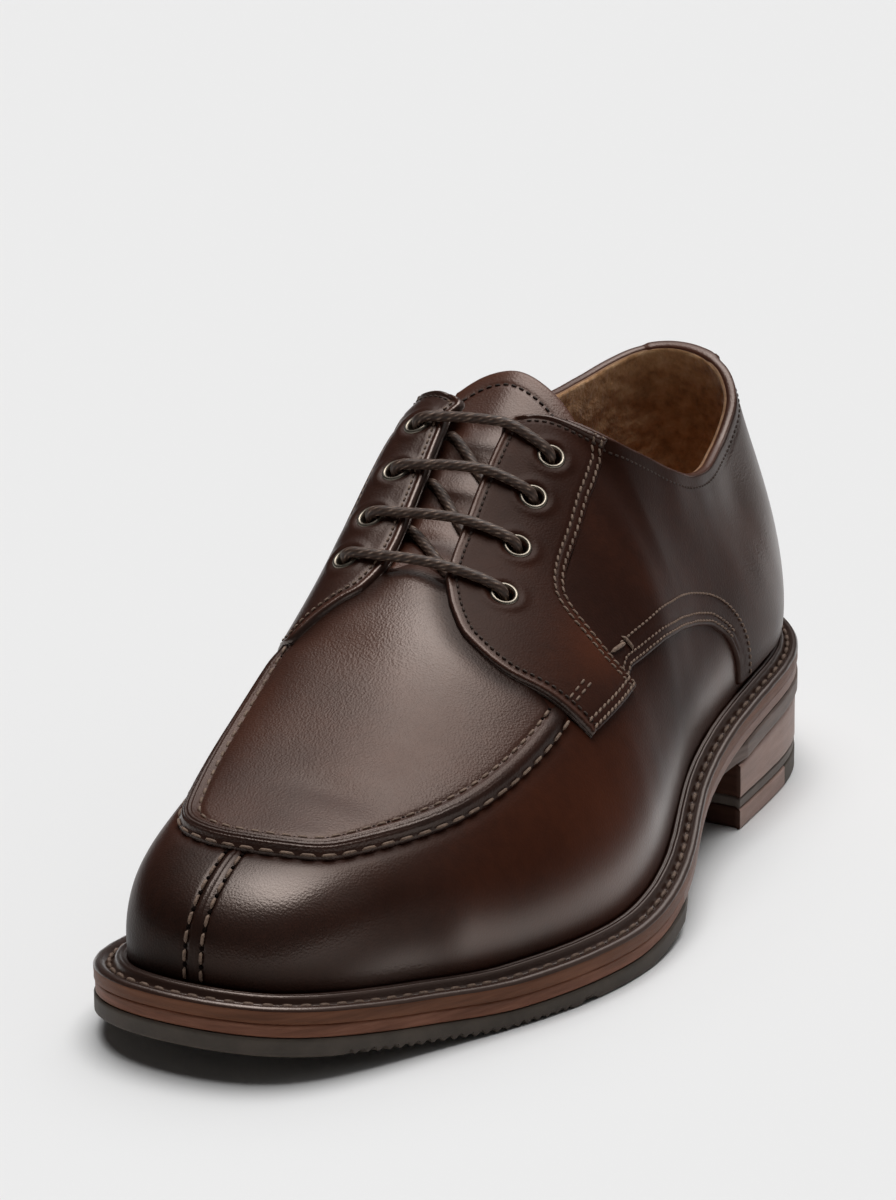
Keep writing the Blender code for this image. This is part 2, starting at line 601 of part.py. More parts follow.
def build_back_strip(across=4, up=11):
    """The strip over the back seam."""
    t = np.linspace(STRIP_LOW, 1.0, up)
    grids = []
    for side in (LATERAL, MEDIAL):
        half = lookup(STRIP_EDGE, t)
        u = 1 - np.linspace(1, 0, across)[:, None] * half[None]
        grids.append(facing_out(side, last_points(side, u, np.repeat(t[None], across, 0))))
    low = QUARTER_UNDER + PANEL + UNDER
    return shell("back_strip", grids, low, [even(g, low + STRIP) for g in grids], (0.055, 0.02, 0.013), 0.3)


def build_tongue(along=9, across=6, rise=4):
    """The tongue under the facings, standing past them at the top."""
    grids = []
    for side in (LATERAL, MEDIAL):
        u = np.linspace(0.318, INSTEP_TOP - 0.004, along)
        lines = []
        for value, share in zip(u, np.linspace(0, 1, along)):
            t = np.linspace(share_at(side, value, TONGUE_HALF - TONGUE_TAPER * share ** 2), 1.0, across)
            line = last_points(side, np.full(across, value), t)
            line[:, 0] = centre_x(value) + TONGUE_SQUEEZE * (line[:, 0] - centre_x(value))
            lines.append(line)
        ahead = lines[-1] - lines[-2]
        ahead /= np.linalg.norm(ahead, axis=1)[:, None]
        crown = np.sqrt(1 - (TONGUE_ROUND * np.linspace(1, 0, across)) ** 2)
        for k in range(1, rise + 1):
            lines.append(lines[along - 1] + ahead * (TONGUE_RISE * crown * k / rise)[:, None])
        grids.append(facing_out(side, np.stack(lines)))
    low = -(WALL + UNDER + GAP + TONGUE_THICK)
    return shell("tongue", grids, low, [even(g, low + TONGUE_THICK) for g in grids], (0.06, 0.024, 0.016), 0.3)


def eyelet_frame(side, u, half):
    """Centre of an eyelet on the facing's face, with the face's normal and two directions in it."""
    t = share_at(side, u, half)
    normal = last_normal(side, u, t)
    point = last_points(side, np.array([u]), np.array([t]))[0] + normal * (UNDER + GAP + EYESTAY)
    along = np.cross(normal, (0.0, 0.0, 1.0))
    along /= np.linalg.norm(along)
    return point, normal, along, np.cross(normal, along)


def build_eyelets(segments=10):
    """Eight metal rings on the facings."""
    middle = (EYELET_OUTER + EYELET_INNER) / 2
    profile = ((EYELET_INNER, 0.0), (EYELET_OUTER, 0.0), (EYELET_OUTER - 0.3, 0.6 * EYELET_HEIGHT),
               (middle, EYELET_HEIGHT), (EYELET_INNER, 0.5 * EYELET_HEIGHT))
    for side in (LATERAL, MEDIAL):
        for k, (u, half) in enumerate(EYELETS):
            point, normal, along, across = eyelet_frame(side, u, half)
            angle = np.linspace(0, 2 * np.pi, segments + 1)
            grid = np.zeros((segments + 1, len(profile) + 1, 3))
            for j, (radius, height) in enumerate(profile + profile[:1]):
                ring = np.cos(angle)[:, None] * along + np.sin(angle)[:, None] * across
                grid[:, j] = point + radius * ring + height * normal
            points, faces, _ = weld([grid], [even(grid, 0.0)])
            make_object("eyelet_%s_%d" % (SIDES[side], k + 1), points, faces, (0.32, 0.26, 0.18), 0.35, 1.0)


def lace_route():
    """Centre line of the lace: four bars over the facings, each led on to the next."""
    turn = 0.017
    stops = []
    for k, (u, half) in enumerate(EYELETS):
        if k:
            stops += [(-half, u - turn), (-half - LACE_TURN, u - turn / 2)]
        stops += [(-half, u), (0.0, u), (half, u)]
        if k < len(EYELETS) - 1:
            stops += [(half + LACE_TURN, u + turn / 2), (half, u + turn)]
            stops += [(0.0, (u + EYELETS[k + 1][0]) / 2)]
    stops = np.array(stops)
    route = pchip(np.arange(len(stops)), stops, np.linspace(0, len(stops) - 1, 3 * len(stops) - 2))
    points = []
    for across, u in route:
        side = LATERAL if across >= 0 else MEDIAL
        t = share_at(side, u, abs(across)) if abs(across) > 0.5 else 1.0
        u_in = min(u, INSTEP_TOP)
        near = np.clip((abs(across) - FACING_HALF) / LACE_CLIMB, 0.0, 1.0)
        over = UNDER + GAP + EYESTAY + LACE_RADIUS + near * (EYELET_HEIGHT + LACE_CLEAR)
        normal = last_normal(side, u_in, min(t, 0.985))
        points.append(last_points(side, np.array([u_in]), np.array([t]))[0] + normal * over)
    return np.array(points)


def build_lace(sides=6):
    """The lace as one round cord."""
    route = lace_route()
    route[1:-1] = 0.25 * route[:-2] + 0.5 * route[1:-1] + 0.25 * route[2:]
    tangent = np.gradient(route, axis=0)
    tangent /= np.linalg.norm(tangent, axis=1)[:, None]
    first = np.cross(tangent[0], (0.0, 0.0, 1.0))
    grid = np.zeros((len(route), sides + 1, 3))
    for k, (point, ahead) in enumerate(zip(route, tangent)):
        first = first - ahead * np.dot(first, ahead)
        first /= np.linalg.norm(first)
        second = np.cross(ahead, first)
        angle = np.linspace(2 * np.pi, 0, sides + 1)[:, None]
        grid[k] = point + LACE_RADIUS * (np.cos(angle) * first + np.sin(angle) * second)
    points, faces, _ = weld([grid], [even(grid, 0.0)])
    count = len(points)
    faces.append(list(range(sides)))
    faces.append(list(range(count - sides, count))[::-1])
    make_object("lace", points, faces, (0.05, 0.032, 0.022), 0.55)


def main():
    for old in list(bpy.data.objects):
        bpy.data.objects.remove(old, do_unlink=True)
    build_sole()
    build_welt()
    build_upper()
    build_apron()
    for side in (LATERAL, MEDIAL):
        build_eyestay(side)
        build_quarter(side)
    build_back_strip()
    build_tongue()
    build_eyelets()
    build_lace()


main()
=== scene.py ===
import bpy
import numpy as np
from mathutils import Matrix, Vector
from mathutils.kdtree import KDTree


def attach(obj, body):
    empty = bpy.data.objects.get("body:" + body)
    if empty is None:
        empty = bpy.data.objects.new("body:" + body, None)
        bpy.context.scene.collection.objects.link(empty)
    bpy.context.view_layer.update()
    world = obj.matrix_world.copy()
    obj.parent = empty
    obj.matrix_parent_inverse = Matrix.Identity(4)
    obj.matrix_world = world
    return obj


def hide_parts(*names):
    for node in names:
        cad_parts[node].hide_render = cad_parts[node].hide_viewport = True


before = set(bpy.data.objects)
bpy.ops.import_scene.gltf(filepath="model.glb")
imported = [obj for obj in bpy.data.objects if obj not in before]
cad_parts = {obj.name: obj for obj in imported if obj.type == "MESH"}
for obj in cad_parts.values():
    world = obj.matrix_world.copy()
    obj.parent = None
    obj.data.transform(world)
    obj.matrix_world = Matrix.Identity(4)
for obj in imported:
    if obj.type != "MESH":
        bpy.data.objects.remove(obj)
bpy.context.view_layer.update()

MM = 0.001
GAP = 0.35             # between neighbouring solids
WALL = 2.0             # thickness of the upper
WALL_TUCK = 3.5        # how far the wall of the upper ends short of the facing's edge

# Plan outline of the sole edge; columns: y, lateral x, medial x
OUTLINE = (
    (-139.0, 9.5, -41.0),
    (-125.0, 21.5, -51.0),
    (-105.0, 31.8, -54.8),
    (-63.0, 50.4, -55.2),
    (-26.0, 55.7, -52.0),
    (5.0, 49.8, -47.8),
    (38.0, 38.2, -45.2),
    (68.0, 33.3, -45.6),
    (93.0, 30.8, -46.0),
    (114.0, 26.5, -42.6),
    (134.0, 14.5, -30.5),
)
TOE_TIP = (-15.0, -146.0)
HEEL_TIP = (-8.0, 146.0)

# Height of the welt's upper face; columns: y, z
SOLE_LINE = (
    (-146.0, 21.2), (-124.0, 17.7), (-104.0, 14.9), (-76.0, 12.2), (-40.0, 12.2),
    (4.0, 17.3), (38.0, 25.0), (68.0, 31.5), (93.0, 34.2), (146.0, 36.2),
)
# How far the welt stands out past the upper; columns: y, width
WELT_EXTENSION = ((-146.0, 9.0), (-40.0, 8.0), (40.0, 6.8), (146.0, 6.5))

# Sections of the last from toe centre to heel centre.
# y: where the section leaves the sole edge; top: its upper end, on the ridge line and then on the collar;
# out1, up1: handle at the feather; out2, drop2: handle at the top; slope: ridge slope;
# swing: share of the sole edge's fore and aft turn that the top handle follows
POLE = (-16.0, -97.0, 54.0)
RIDGE = (
    (-17.5, -80.0, 59.5),
    (-19.0, -55.0, 70.0),
    (-20.5, -26.0, 85.0),
    (-21.2, -10.0, 93.5),
    (-22.8, 12.0, 106.0),
    (-24.15, 31.5, 118.1),
)
BACK = (-19.0, 133.0, 112.2)
# columns: name, slope, swing, lateral (y, top, out1, up1, out2, drop2), medial (the same)
SECTIONS = (
    ("toe", 0.28, 1.0, (-146.0, POLE, 5.0, 22.0, 26.0, 0.0), (-146.0, POLE, 5.0, 22.0, 26.0, 0.0)),
    ("toe corner", 0.28, 1.0, (-139.0, POLE, 5.0, 24.0, 24.0, 0.0),
     (-139.0, POLE, 5.0, 24.0, 24.0, 0.0)),
    ("toe side", 0.28, 1.0, (-124.0, POLE, 5.0, 28.0, 24.0, 0.0), (-124.0, POLE, 5.0, 28.0, 24.0, 0.0)),
    ("wing", 0.30, 1.0, (-102.0, POLE, 6.0, 32.0, 30.0, 0.0), (-102.0, POLE, 4.5, 34.0, 29.0, 0.0)),
    ("fore ball", 0.36, 0.7, (-80.0, RIDGE[0], 7.0, 34.0, 38.0, 0.0),
     (-80.0, RIDGE[0], 5.0, 42.0, 30.0, 0.0)),
    ("ball", 0.46, 0.3, (-50.0, RIDGE[1], 8.0, 36.0, 42.0, 0.0),
     (-50.0, RIDGE[1], 6.5, 54.0, 32.0, 0.0)),
    ("vamp", 0.52, 0.0, (-18.0, RIDGE[2], 7.0, 40.0, 38.0, 0.0),
     (-20.0, RIDGE[2], 9.0, 65.0, 35.0, 0.0)),
    ("throat", 0.55, 0.0, (0.0, RIDGE[3], 5.0, 42.0, 34.0, 2.0),
     (-3.0, RIDGE[3], 10.0, 70.0, 37.0, 1.0)),
    ("instep", 0.58, 0.0, (17.0, RIDGE[4], 4.0, 44.0, 27.0, 2.5),
     (13.0, RIDGE[4], 12.0, 73.0, 38.0, 1.5)),
    ("instep top", 0.60, 0.0, (27.5, RIDGE[5], 5.0, 47.0, 29.5, 3.3),
     (24.5, RIDGE[5], 12.0, 69.0, 36.5, 2.6)),
    ("facing top", 0.30, 0.0, (37.0, (-11.5, 38.0, 118.6), 5.5, 46.0, 16.0, 9.0),
     (35.0, (-37.0, 37.8, 119.8), 11.0, 60.0, 20.0, 8.0)),
    ("collar front", 0.0, 0.0, (48.0, (5.2, 45.0, 112.0), 4.0, 38.0, 5.0, 19.0),
     (46.0, (-49.0, 45.5, 114.5), 10.0, 48.0, 8.0, 18.0)),
    ("collar 2", 0.0, 0.5, (61.0, (9.0, 58.5, 103.6), 3.0, 30.0, 3.5, 22.0),
     (59.0, (-49.0, 58.0, 111.0), 8.0, 38.0, 4.0, 22.0)),
    ("collar 3", 0.0, 1.0, (74.0, (10.8, 69.0, 97.6), 3.0, 25.0, 3.0, 22.0),
     (73.0, (-47.0, 70.0, 107.5), 6.5, 32.0, 2.0, 24.0)),
    ("ankle dip", 0.0, 1.0, (86.0, (10.7, 80.0, 93.3), 4.0, 24.0, 3.0, 22.0),
     (85.0, (-44.0, 82.0, 105.0), 5.0, 28.0, 0.0, 25.0)),
    ("collar 5", 0.0, 1.0, (98.0, (9.4, 91.0, 91.8), 4.0, 24.0, 3.0, 22.0),
     (98.0, (-40.5, 95.0, 104.5), 5.0, 28.0, 0.0, 25.0)),
    ("collar 6", 0.0, 1.0, (112.0, (6.5, 104.0, 93.6), 5.5, 25.0, 4.0, 24.0),
     (112.0, (-38.5, 108.0, 105.5), 5.0, 28.0, 1.0, 26.0)),
    ("heel side", 0.0, 1.0, (128.0, (3.0, 121.0, 103.0), 6.5, 27.0, 6.0, 27.0),
     (127.0, (-35.0, 120.0, 108.0), 5.0, 29.0, 2.5, 28.0)),
    ("heel corner", 0.0, 1.0, (140.0, (-6.0, 130.0, 110.6), 6.5, 28.0, 8.0, 30.0),
     (139.0, (-29.0, 130.0, 110.8), 5.5, 29.0, 5.5, 30.0)),
    ("heel", 0.0, 1.0, (146.0, BACK, 5.5, 28.0, 8.0, 32.0), (146.0, BACK, 5.5, 28.0, 8.0, 32.0)),
)
LATERAL, MEDIAL = 1, -1
SIDES = {LATERAL: "lateral", MEDIAL: "medial"}

# Panel lines on the last; columns: share of the way from toe to heel, share of the way up the section
APRON_LINE = {
    LATERAL: ((0.0, 0.738), (0.035, 0.717), (0.064, 0.681), (0.094, 0.631), (0.121, 0.600), (0.161, 0.606),
              (0.182, 0.588), (0.197, 0.556), (0.211, 0.527), (0.238, 0.504), (0.260, 0.498), (0.303, 0.490)),
    MEDIAL: ((0.0, 0.738), (0.040, 0.700), (0.078, 0.645), (0.098, 0.612), (0.126, 0.592), (0.163, 0.592),
             (0.195, 0.550), (0.223, 0.522), (0.260, 0.520), (0.303, 0.540)),
}
# Rear end of the plug; columns: share up the section, share along the shoe
PLUG_END = ((0.48, 0.301), (0.56, 0.300), (0.69, 0.300), (0.80, 0.309), (0.87, 0.330),
            (0.93, 0.352), (1.0, 0.361))
STAY_FRONT = {
    LATERAL: ((0.309, 0.431), (0.306, 0.563), (0.301, 0.686), (0.307, 0.806), (0.323, 0.872), (0.346, 0.912)),
    MEDIAL: ((0.294, 0.431), (0.289, 0.545), (0.287, 0.655), (0.301, 0.785), (0.310, 0.844), (0.322, 0.903),
             (0.345, 0.930)),
}
STAY_BACK = ((0.391, 0.366), (0.383, 0.477), (0.385, 0.562), (0.391, 0.615), (0.405, 0.633), (0.439, 0.637),
             (0.455, 0.646), (0.483, 0.666), (0.541, 0.777), (0.560, 0.890), (0.573, 1.0))
QUARTER_LOW = ((0.397, 0.394), (0.431, 0.355), (0.471, 0.326), (0.481, 0.322), (0.493, 0.317), (0.524, 0.312),
               (0.582, 0.336), (0.617, 0.348), (0.646, 0.342), (0.666, 0.315), (0.683, 0.274), (0.692, 0.223),
               (0.699, 0.150), (0.702, 0.055), (0.745, 0.045), (0.997, 0.048))
# Facing edges; columns: share along the shoe, distance from the centre line
FACING_EDGE = {
    LATERAL: ((0.345, 10.2), (0.365, 8.2), (0.389, 7.0), (0.407, 6.2), (0.424, 5.6), (0.459, 5.2),
              (0.515, 6.4)),
    MEDIAL: ((0.345, 7.2), (0.365, 7.2), (0.400, 8.4), (0.444, 10.0), (0.463, 10.5), (0.515, 11.8)),
}
THROAT_START, THROAT_FULL = 0.345, 0.361
FACING_START = 0.357
COLLAR_START = 0.515
CORNER = 9             # row where the ridge line ends and the collar begins
INSTEP_TOP = CORNER / (len(SECTIONS) - 1)
# Half width of the back strip as a share of the way round; columns: share up the section, share
STRIP_LOW = 0.055
STRIP_EDGE = ((0.0, 0.026), (0.6, 0.032), (1.0, 0.050))
# Eyelets from the throat up; columns: share along the shoe, distance from the centre line
EYELETS = {
    LATERAL: ((0.355, 24.4), (0.396, 21.2), (0.434, 19.2), (0.471, 18.8)),
    MEDIAL: ((0.348, 19.2), (0.386, 18.5), (0.422, 18.0), (0.465, 18.6)),
}


def pchip(x, y, query):
    """Monotone cubic through the rows (x, y); y may have columns."""
    x = np.asarray(x, float)
    y = np.asarray(y, float)
    flat = y.reshape(len(x), -1)
    step = np.diff(x)[:, None]
    rise = np.diff(flat, axis=0) / step
    slope = np.zeros_like(flat)
    slope[0], slope[-1] = rise[0], rise[-1]
    near, far = 2 * step[1:] + step[:-1], step[1:] + 2 * step[:-1]
    agree = rise[:-1] * rise[1:] > 0
    safe_a = np.where(agree, rise[:-1], 1.0)
    safe_b = np.where(agree, rise[1:], 1.0)
    slope[1:-1] = np.where(agree, (near + far) / (near / safe_a + far / safe_b), 0.0)
    q = np.atleast_1d(np.asarray(query, float))
    k = np.clip(np.searchsorted(x, q, side="right") - 1, 0, len(x) - 2)
    h = step[k]
    t = (q - x[k])[:, None] / h
    value = (1 + 2 * t) * (1 - t) ** 2 * flat[k] + t * (1 - t) ** 2 * h * slope[k]
    value += t * t * (3 - 2 * t) * flat[k + 1] + t * t * (t - 1) * h * slope[k + 1]
    return value.reshape((len(q),) + y.shape[1:])


def lookup(table, query):
    """Value of a two-column table, held constant past its ends."""
    rows = np.array(table)
    return pchip(rows[:, 0], rows[:, 1], np.clip(query, rows[0, 0], rows[-1, 0]))


def unit(v):
    """Vectors of length 1."""
    return v / np.maximum(np.linalg.norm(v, axis=-1, keepdims=True), 1e-9)


def fade(value, start, end):
    """0 at start, 1 at end, straight in between and held beyond."""
    return np.clip((value - start) / (end - start), 0, 1)


def running(points):
    """Running length along a line of points."""
    return np.concatenate([[0], np.cumsum(np.linalg.norm(np.diff(points, axis=0), axis=1))])


def sample(points, run, at):
    """Points of a line at running lengths."""
    return np.stack([np.interp(at, run, points[:, i]) for i in range(points.shape[1])], -1)


def eased(line, rounds):
    """A line smoothed in place between its ends."""
    for _ in range(rounds):
        line[1:-1] = 0.25 * line[:-2] + 0.5 * line[1:-1] + 0.25 * line[2:]
    return line


def closed_spline(points, per_span=24):
    """Smooth closed curve through points in the plane."""
    p = np.array(points, float)
    n = len(p)
    after = np.roll(p, -1, 0)
    span = np.linalg.norm(after - p, axis=1)
    matrix = np.zeros((n, n))
    right = np.zeros((n, 2))
    for i in range(n):
        before, here = span[i - 1], span[i]
        matrix[i, i - 1] += before
        matrix[i, i] += 2 * (before + here)
        matrix[i, (i + 1) % n] += here
        right[i] = 6 * ((after[i] - p[i]) / here - (p[i] - p[i - 1]) / before)
    bend = np.linalg.solve(matrix, right)
    t = np.linspace(0, 1, per_span, endpoint=False)[:, None]
    runs = []
    for i in range(n):
        j = (i + 1) % n
        curve = ((1 - t) ** 3 - (1 - t)) * bend[i] + (t ** 3 - t) * bend[j]
        runs.append((1 - t) * p[i] + t * p[j] + span[i] ** 2 / 6 * curve)
    return np.concatenate(runs)


def outline_arcs():
    """The outline's two halves, toe tip to heel tip: points, outward normals, running length."""
    lateral = [(row[1], row[0]) for row in OUTLINE]
    medial = [(row[2], row[0]) for row in OUTLINE[::-1]]
    loop = closed_spline([TOE_TIP] + lateral + [HEEL_TIP] + medial)
    split = len(loop) * (len(OUTLINE) + 1) // (2 * len(OUTLINE) + 2)
    tangent = unit(np.roll(loop, -1, 0) - np.roll(loop, 1, 0))
    ring = np.stack([*loop.T, tangent[:, 1], -tangent[:, 0]], 1)
    ring = np.concatenate([ring, ring[:1]])
    arcs = {}
    for side, rows in ((LATERAL, ring[:split + 1]), (MEDIAL, ring[split:][::-1])):
        arcs[side] = (rows[:, :2], rows[:, 2:], running(rows[:, :2]))
    return arcs


ARCS = outline_arcs()


def edge_point(side, length):
    """Point and outward normal on the sole edge at a running length."""
    arc, normal, run = ARCS[side]
    return sample(arc, run, length), unit(sample(normal, run, length))


def edge_length(side, y):
    """Running length at which the sole edge passes y."""
    arc, _, run = ARCS[side]
    return np.interp(y, np.maximum.accumulate(arc[:, 1]), run)


def section_handles(side, u):
    """The four handles of the last's section curves at the shares u of the way from toe to heel."""
    rows = [(row[3] if side == LATERAL else row[4]) for row in SECTIONS]
    place = np.linspace(0, 1, len(rows))
    length = np.array([edge_length(side, row[0]) for row in rows])
    length[0], length[-1] = 0.0, ARCS[side][2][-1]
    length = pchip(place, length, u)
    tops = np.array([row[1] for row in rows])
    ridge = pchip(place[:CORNER + 1], tops[:CORNER + 1], np.minimum(u, INSTEP_TOP))
    collar = pchip(place[CORNER:], tops[CORNER:], np.maximum(u, INSTEP_TOP))
    top = np.where((u <= INSTEP_TOP)[:, None], ridge, collar)
    slope, swing = pchip(place, np.array([row[1:3] for row in SECTIONS]), u).T
    handle = pchip(place, np.array([row[2:] for row in rows]), u)
    edge, out = edge_point(side, length)
    feather = edge - out * lookup(WELT_EXTENSION, edge[:, 1])[:, None]
    height = lookup(SOLE_LINE, feather[:, 1]) + GAP
    foot = np.concatenate([feather, height[:, None]], 1)
    outward = np.concatenate([out, np.zeros((len(out), 1))], 1)
    up = np.array([0.0, 0.0, 1.0])
    low = foot + outward * handle[:, 0:1] + up * handle[:, 1:2]
    lead = unit(outward * np.stack([np.ones_like(swing), swing, np.ones_like(swing)], 1))
    fall = slope * lead[:, 1] * handle[:, 2] - handle[:, 3]
    high = top + lead * handle[:, 2:3] + up * fall[:, None]
    return foot, low, high, top


FINE = 1501            # stations of the table of handles
EASE = 36              # stations over which the handles are eased into each other


def eased_handles():
    """Handles of both sides at fine stations, eased along the shoe so that the surface has no creases."""
    u = np.linspace(0, 1, FINE)
    loops = [np.concatenate([lateral, medial[-2:0:-1]]) for lateral, medial in
             zip(section_handles(LATERAL, u), section_handles(MEDIAL, u))]
    reach = np.arange(-3 * EASE, 3 * EASE + 1)
    weight = np.exp(-0.5 * (reach / EASE) ** 2)
    weight /= weight.sum()
    for k in (1, 2):
        loops[k] = sum(w * np.roll(loops[k], -shift, 0) for w, shift in zip(weight, reach))
    soft_top = sum(w * np.roll(loops[3], -shift, 0) for w, shift in zip(weight, reach))
    behind = np.concatenate([u, u[-2:0:-1]])[:, None]
    back = fade(behind, 0.88, 0.94)
    loops[3] = loops[3] * (1 - back) + soft_top * back
    whole = np.concatenate(loops, 1)
    return {LATERAL: whole[:FINE], MEDIAL: np.concatenate([whole[:1], whole[:FINE - 2:-1]])}


HANDLES = eased_handles()


# Fullness of the medial side beside the laces
# columns: middle and spread along the shoe, middle and spread up the section, height
FULL_WAY = np.array((-0.96, -0.10, 0.26))
FULL_SWELLS = ((0.430, 0.095, 0.76, 0.16, 3.2), (0.490, 0.055, 0.68, 0.16, 2.0))
# Fullness of the medial collar at the facing's tab: middle and spread along the shoe, and how far it moves
TAB_SWELL, TAB_WAY = (0.535, 0.040), np.array((-4.2, -0.3, -1.4))


def last_points(side, u, t):
    """Points of the last at shares u (toe to heel) and t (feather to top), arrays of one shape."""
    u = np.asarray(u, float)
    t = np.asarray(t, float)
    place = np.clip(u.ravel(), 0, 1) * (FINE - 1)
    k = np.minimum(place.astype(int), FINE - 2)
    part = (place - k)[:, None]
    row = HANDLES[side][k] * (1 - part) + HANDLES[side][k + 1] * part
    foot, low, high, top = row[:, :3], row[:, 3:6], row[:, 6:9], row[:, 9:]
    s = t.ravel()[:, None]
    point = (1 - s) ** 3 * foot + 3 * s * (1 - s) ** 2 * low + 3 * s * s * (1 - s) * high + s ** 3 * top
    if side == MEDIAL:
        full = sum(rise * np.exp(-((u - at_u) / du) ** 2 - ((t - at_t) / dt) ** 2)
                   for at_u, du, at_t, dt, rise in FULL_SWELLS)
        full = full * fade(t, 0.97, 0.85)
        open_top = fade(u, INSTEP_TOP, INSTEP_TOP + 0.03) * fade(t, 0.55, 0.95)
        tab = open_top * np.exp(-((u - TAB_SWELL[0]) / TAB_SWELL[1]) ** 2)
        point = point + FULL_WAY * full.ravel()[:, None] + TAB_WAY * tab.ravel()[:, None]
    return point.reshape(u.shape + (3,))


def last_normal(side, u, t, step=0.004):
    """Outward unit normal of the last at single shares u and t."""
    su = step if u < 0.5 else -step
    st = step if t < 0.5 else -step
    at = last_points(side, np.array([u, u + su, u]), np.array([t, t, t + st]))
    return unit(np.cross((at[1] - at[0]) * np.sign(su), (at[2] - at[0]) * np.sign(st)) * side)


def centre_x(u):
    """X of the throat's centre line."""
    return section_handles(LATERAL, np.minimum(np.atleast_1d(u), INSTEP_TOP))[3][:, 0]


def share_at(side, u, half):
    """Share up the section at u where it lies half a width from the centre line, 1 where it ends sooner."""
    t = np.linspace(0.35, 1.0, 131)
    reach = np.abs(last_points(side, np.full_like(t, u), t)[:, 0] - centre_x(u)[0])
    inside = np.nonzero(reach >= half)[0]
    k = inside[-1] if len(inside) else 0
    if k == len(t) - 1:
        return 1.0
    part = np.clip((reach[k] - half) / max(reach[k] - reach[k + 1], 1e-9), 0, 1)
    return float(t[k] + (t[k + 1] - t[k]) * part)


def facing_half(side, u):
    """Distance of the facing's edge from the centre line."""
    return float(lookup(FACING_EDGE[side], u)[0])


def top_share(side, u, tuck=0.0):
    """Share at which the upper ends: on the ridge, then on the facing edge, then on the collar."""
    if u <= THROAT_START or u >= COLLAR_START:
        return 1.0
    open_part = min(1.0, (u - THROAT_START) / (THROAT_FULL - THROAT_START))
    half = facing_half(side, u) + tuck * fade(u, COLLAR_START - 0.012, COLLAR_START - 0.052)
    return share_at(side, u, half * np.sqrt(1 - (1 - open_part) ** 2))


def line_points(table, count):
    """Points spread evenly along a smooth line through a table's rows."""
    rows = np.array(table, float)
    run = running(rows)
    return pchip(run / run[-1], rows, np.linspace(0, 1, count))


def at_shares(side, line, places):
    """Points of a line of shares at given parts of its length in space."""
    run = running(last_points(side, *line.T))
    return sample(line, run, places * run[-1])


def spread(side, line, count):
    """Resample a line of shares so that its points lie evenly in space."""
    return at_shares(side, line, np.linspace(0, 1, count))


def normals_at(side, u, t, step=0.0025):
    """Outward unit normals of the last at arrays of shares."""
    u = np.asarray(u, float)
    t = np.minimum(np.asarray(t, float), 0.985)
    along = last_points(side, np.clip(u + step, 0, 1), t) - last_points(side, np.clip(u - step, 0, 1), t)
    up = last_points(side, u, np.clip(t + step, 0, 1)) - last_points(side, u, np.clip(t - step, 0, 1))
    return unit(np.cross(along, up) * side)


def surface(side, shares):
    """Points and normals of the last at an array of shares."""
    u, t = shares[..., 0], shares[..., 1]
    return last_points(side, u, t), normals_at(side, u, t)


def on_last(side, points, u, t, rounds=8, step=0.002):
    """Shares of the last's points nearest to given points, from a first guess."""
    u, t = u.copy(), t.copy()
    for _ in range(rounds):
        du = (last_points(side, u + step, t) - last_points(side, u - step, t)) / (2 * step)
        dt = (last_points(side, u, t + step) - last_points(side, u, t - step)) / (2 * step)
        miss = points - last_points(side, u, t)
        a, b, c = (du * du).sum(-1), (du * dt).sum(-1), (dt * dt).sum(-1)
        p, q = (du * miss).sum(-1), (dt * miss).sum(-1)
        det = np.maximum(a * c - b * b, 1e-9)
        u = np.clip(u + np.clip((p * c - q * b) / det, -0.02, 0.02), 0.0, 1.0)
        t = np.clip(t + np.clip((q * a - p * b) / det, -0.05, 0.05), 0.0, 1.0)
    return u, t


class Edge:
    """A line in space that tells how far points lie from it."""

    def __init__(self, points, step=0.4):
        run = running(points)
        count = max(2, int(run[-1] / step))
        self.points = sample(points, run, np.linspace(0, run[-1], count))
        self.tree = KDTree(count)
        for k, p in enumerate(self.points):
            self.tree.insert(p, k)
        self.tree.balance()

    def distance(self, points):
        flat = points.reshape(-1, 3)
        near = np.array([self.tree.find(p)[1] for p in flat])
        best = np.full(len(flat), 1e9)
        for shift in (-1, 0):
            k = np.clip(near + shift, 0, len(self.points) - 2)
            a = self.points[k]
            along = self.points[k + 1] - a
            s = np.clip(((flat - a) * along).sum(1) / np.maximum((along * along).sum(1), 1e-12), 0, 1)
            best = np.minimum(best, np.linalg.norm(flat - a - s[:, None] * along, axis=1))
        return best.reshape(points.shape[:-1])


# Meshes

TURNED = [0, 3, 2, 1]  # corners of a face in the other sense
PLAIN_SHINE = 0.25     # polish where a piece states none, 0 to 1


def grid_faces(rows, cols, start=0, wrap=False, ring=False):
    """Faces of a grid numbered row by row; wrap joins its last row to the first, ring its last column."""
    number = start + np.arange(rows * cols).reshape(rows, cols)
    if wrap:
        number = np.concatenate([number, number[:1]])
    if ring:
        number = np.concatenate([number, number[:, :1]], 1)
    return np.stack([number[:-1, :-1], number[1:, :-1], number[1:, 1:], number[:-1, 1:]], -1).reshape(-1, 4)


def tube_faces(rows, cols):
    """Faces of a closed tube of rings, with both ends filled."""
    number = np.arange(rows * cols).reshape(rows, cols)
    walls = grid_faces(rows, cols, ring=True)[:, TURNED].tolist()
    return walls + [number[0][::-1].tolist(), number[-1].tolist()]


def closed(sheet, inner):
    """A sheet of faces, its copy with numbers raised by inner, and walls along every free edge."""
    edges = {(a, b) for face in sheet for a, b in zip(face, face[1:] + face[:1])}
    walls = [[b, a, a + inner, b + inner] for a, b in sorted(edges) if (b, a) not in edges]
    return sheet + [[v + inner for v in face[::-1]] for face in sheet] + walls


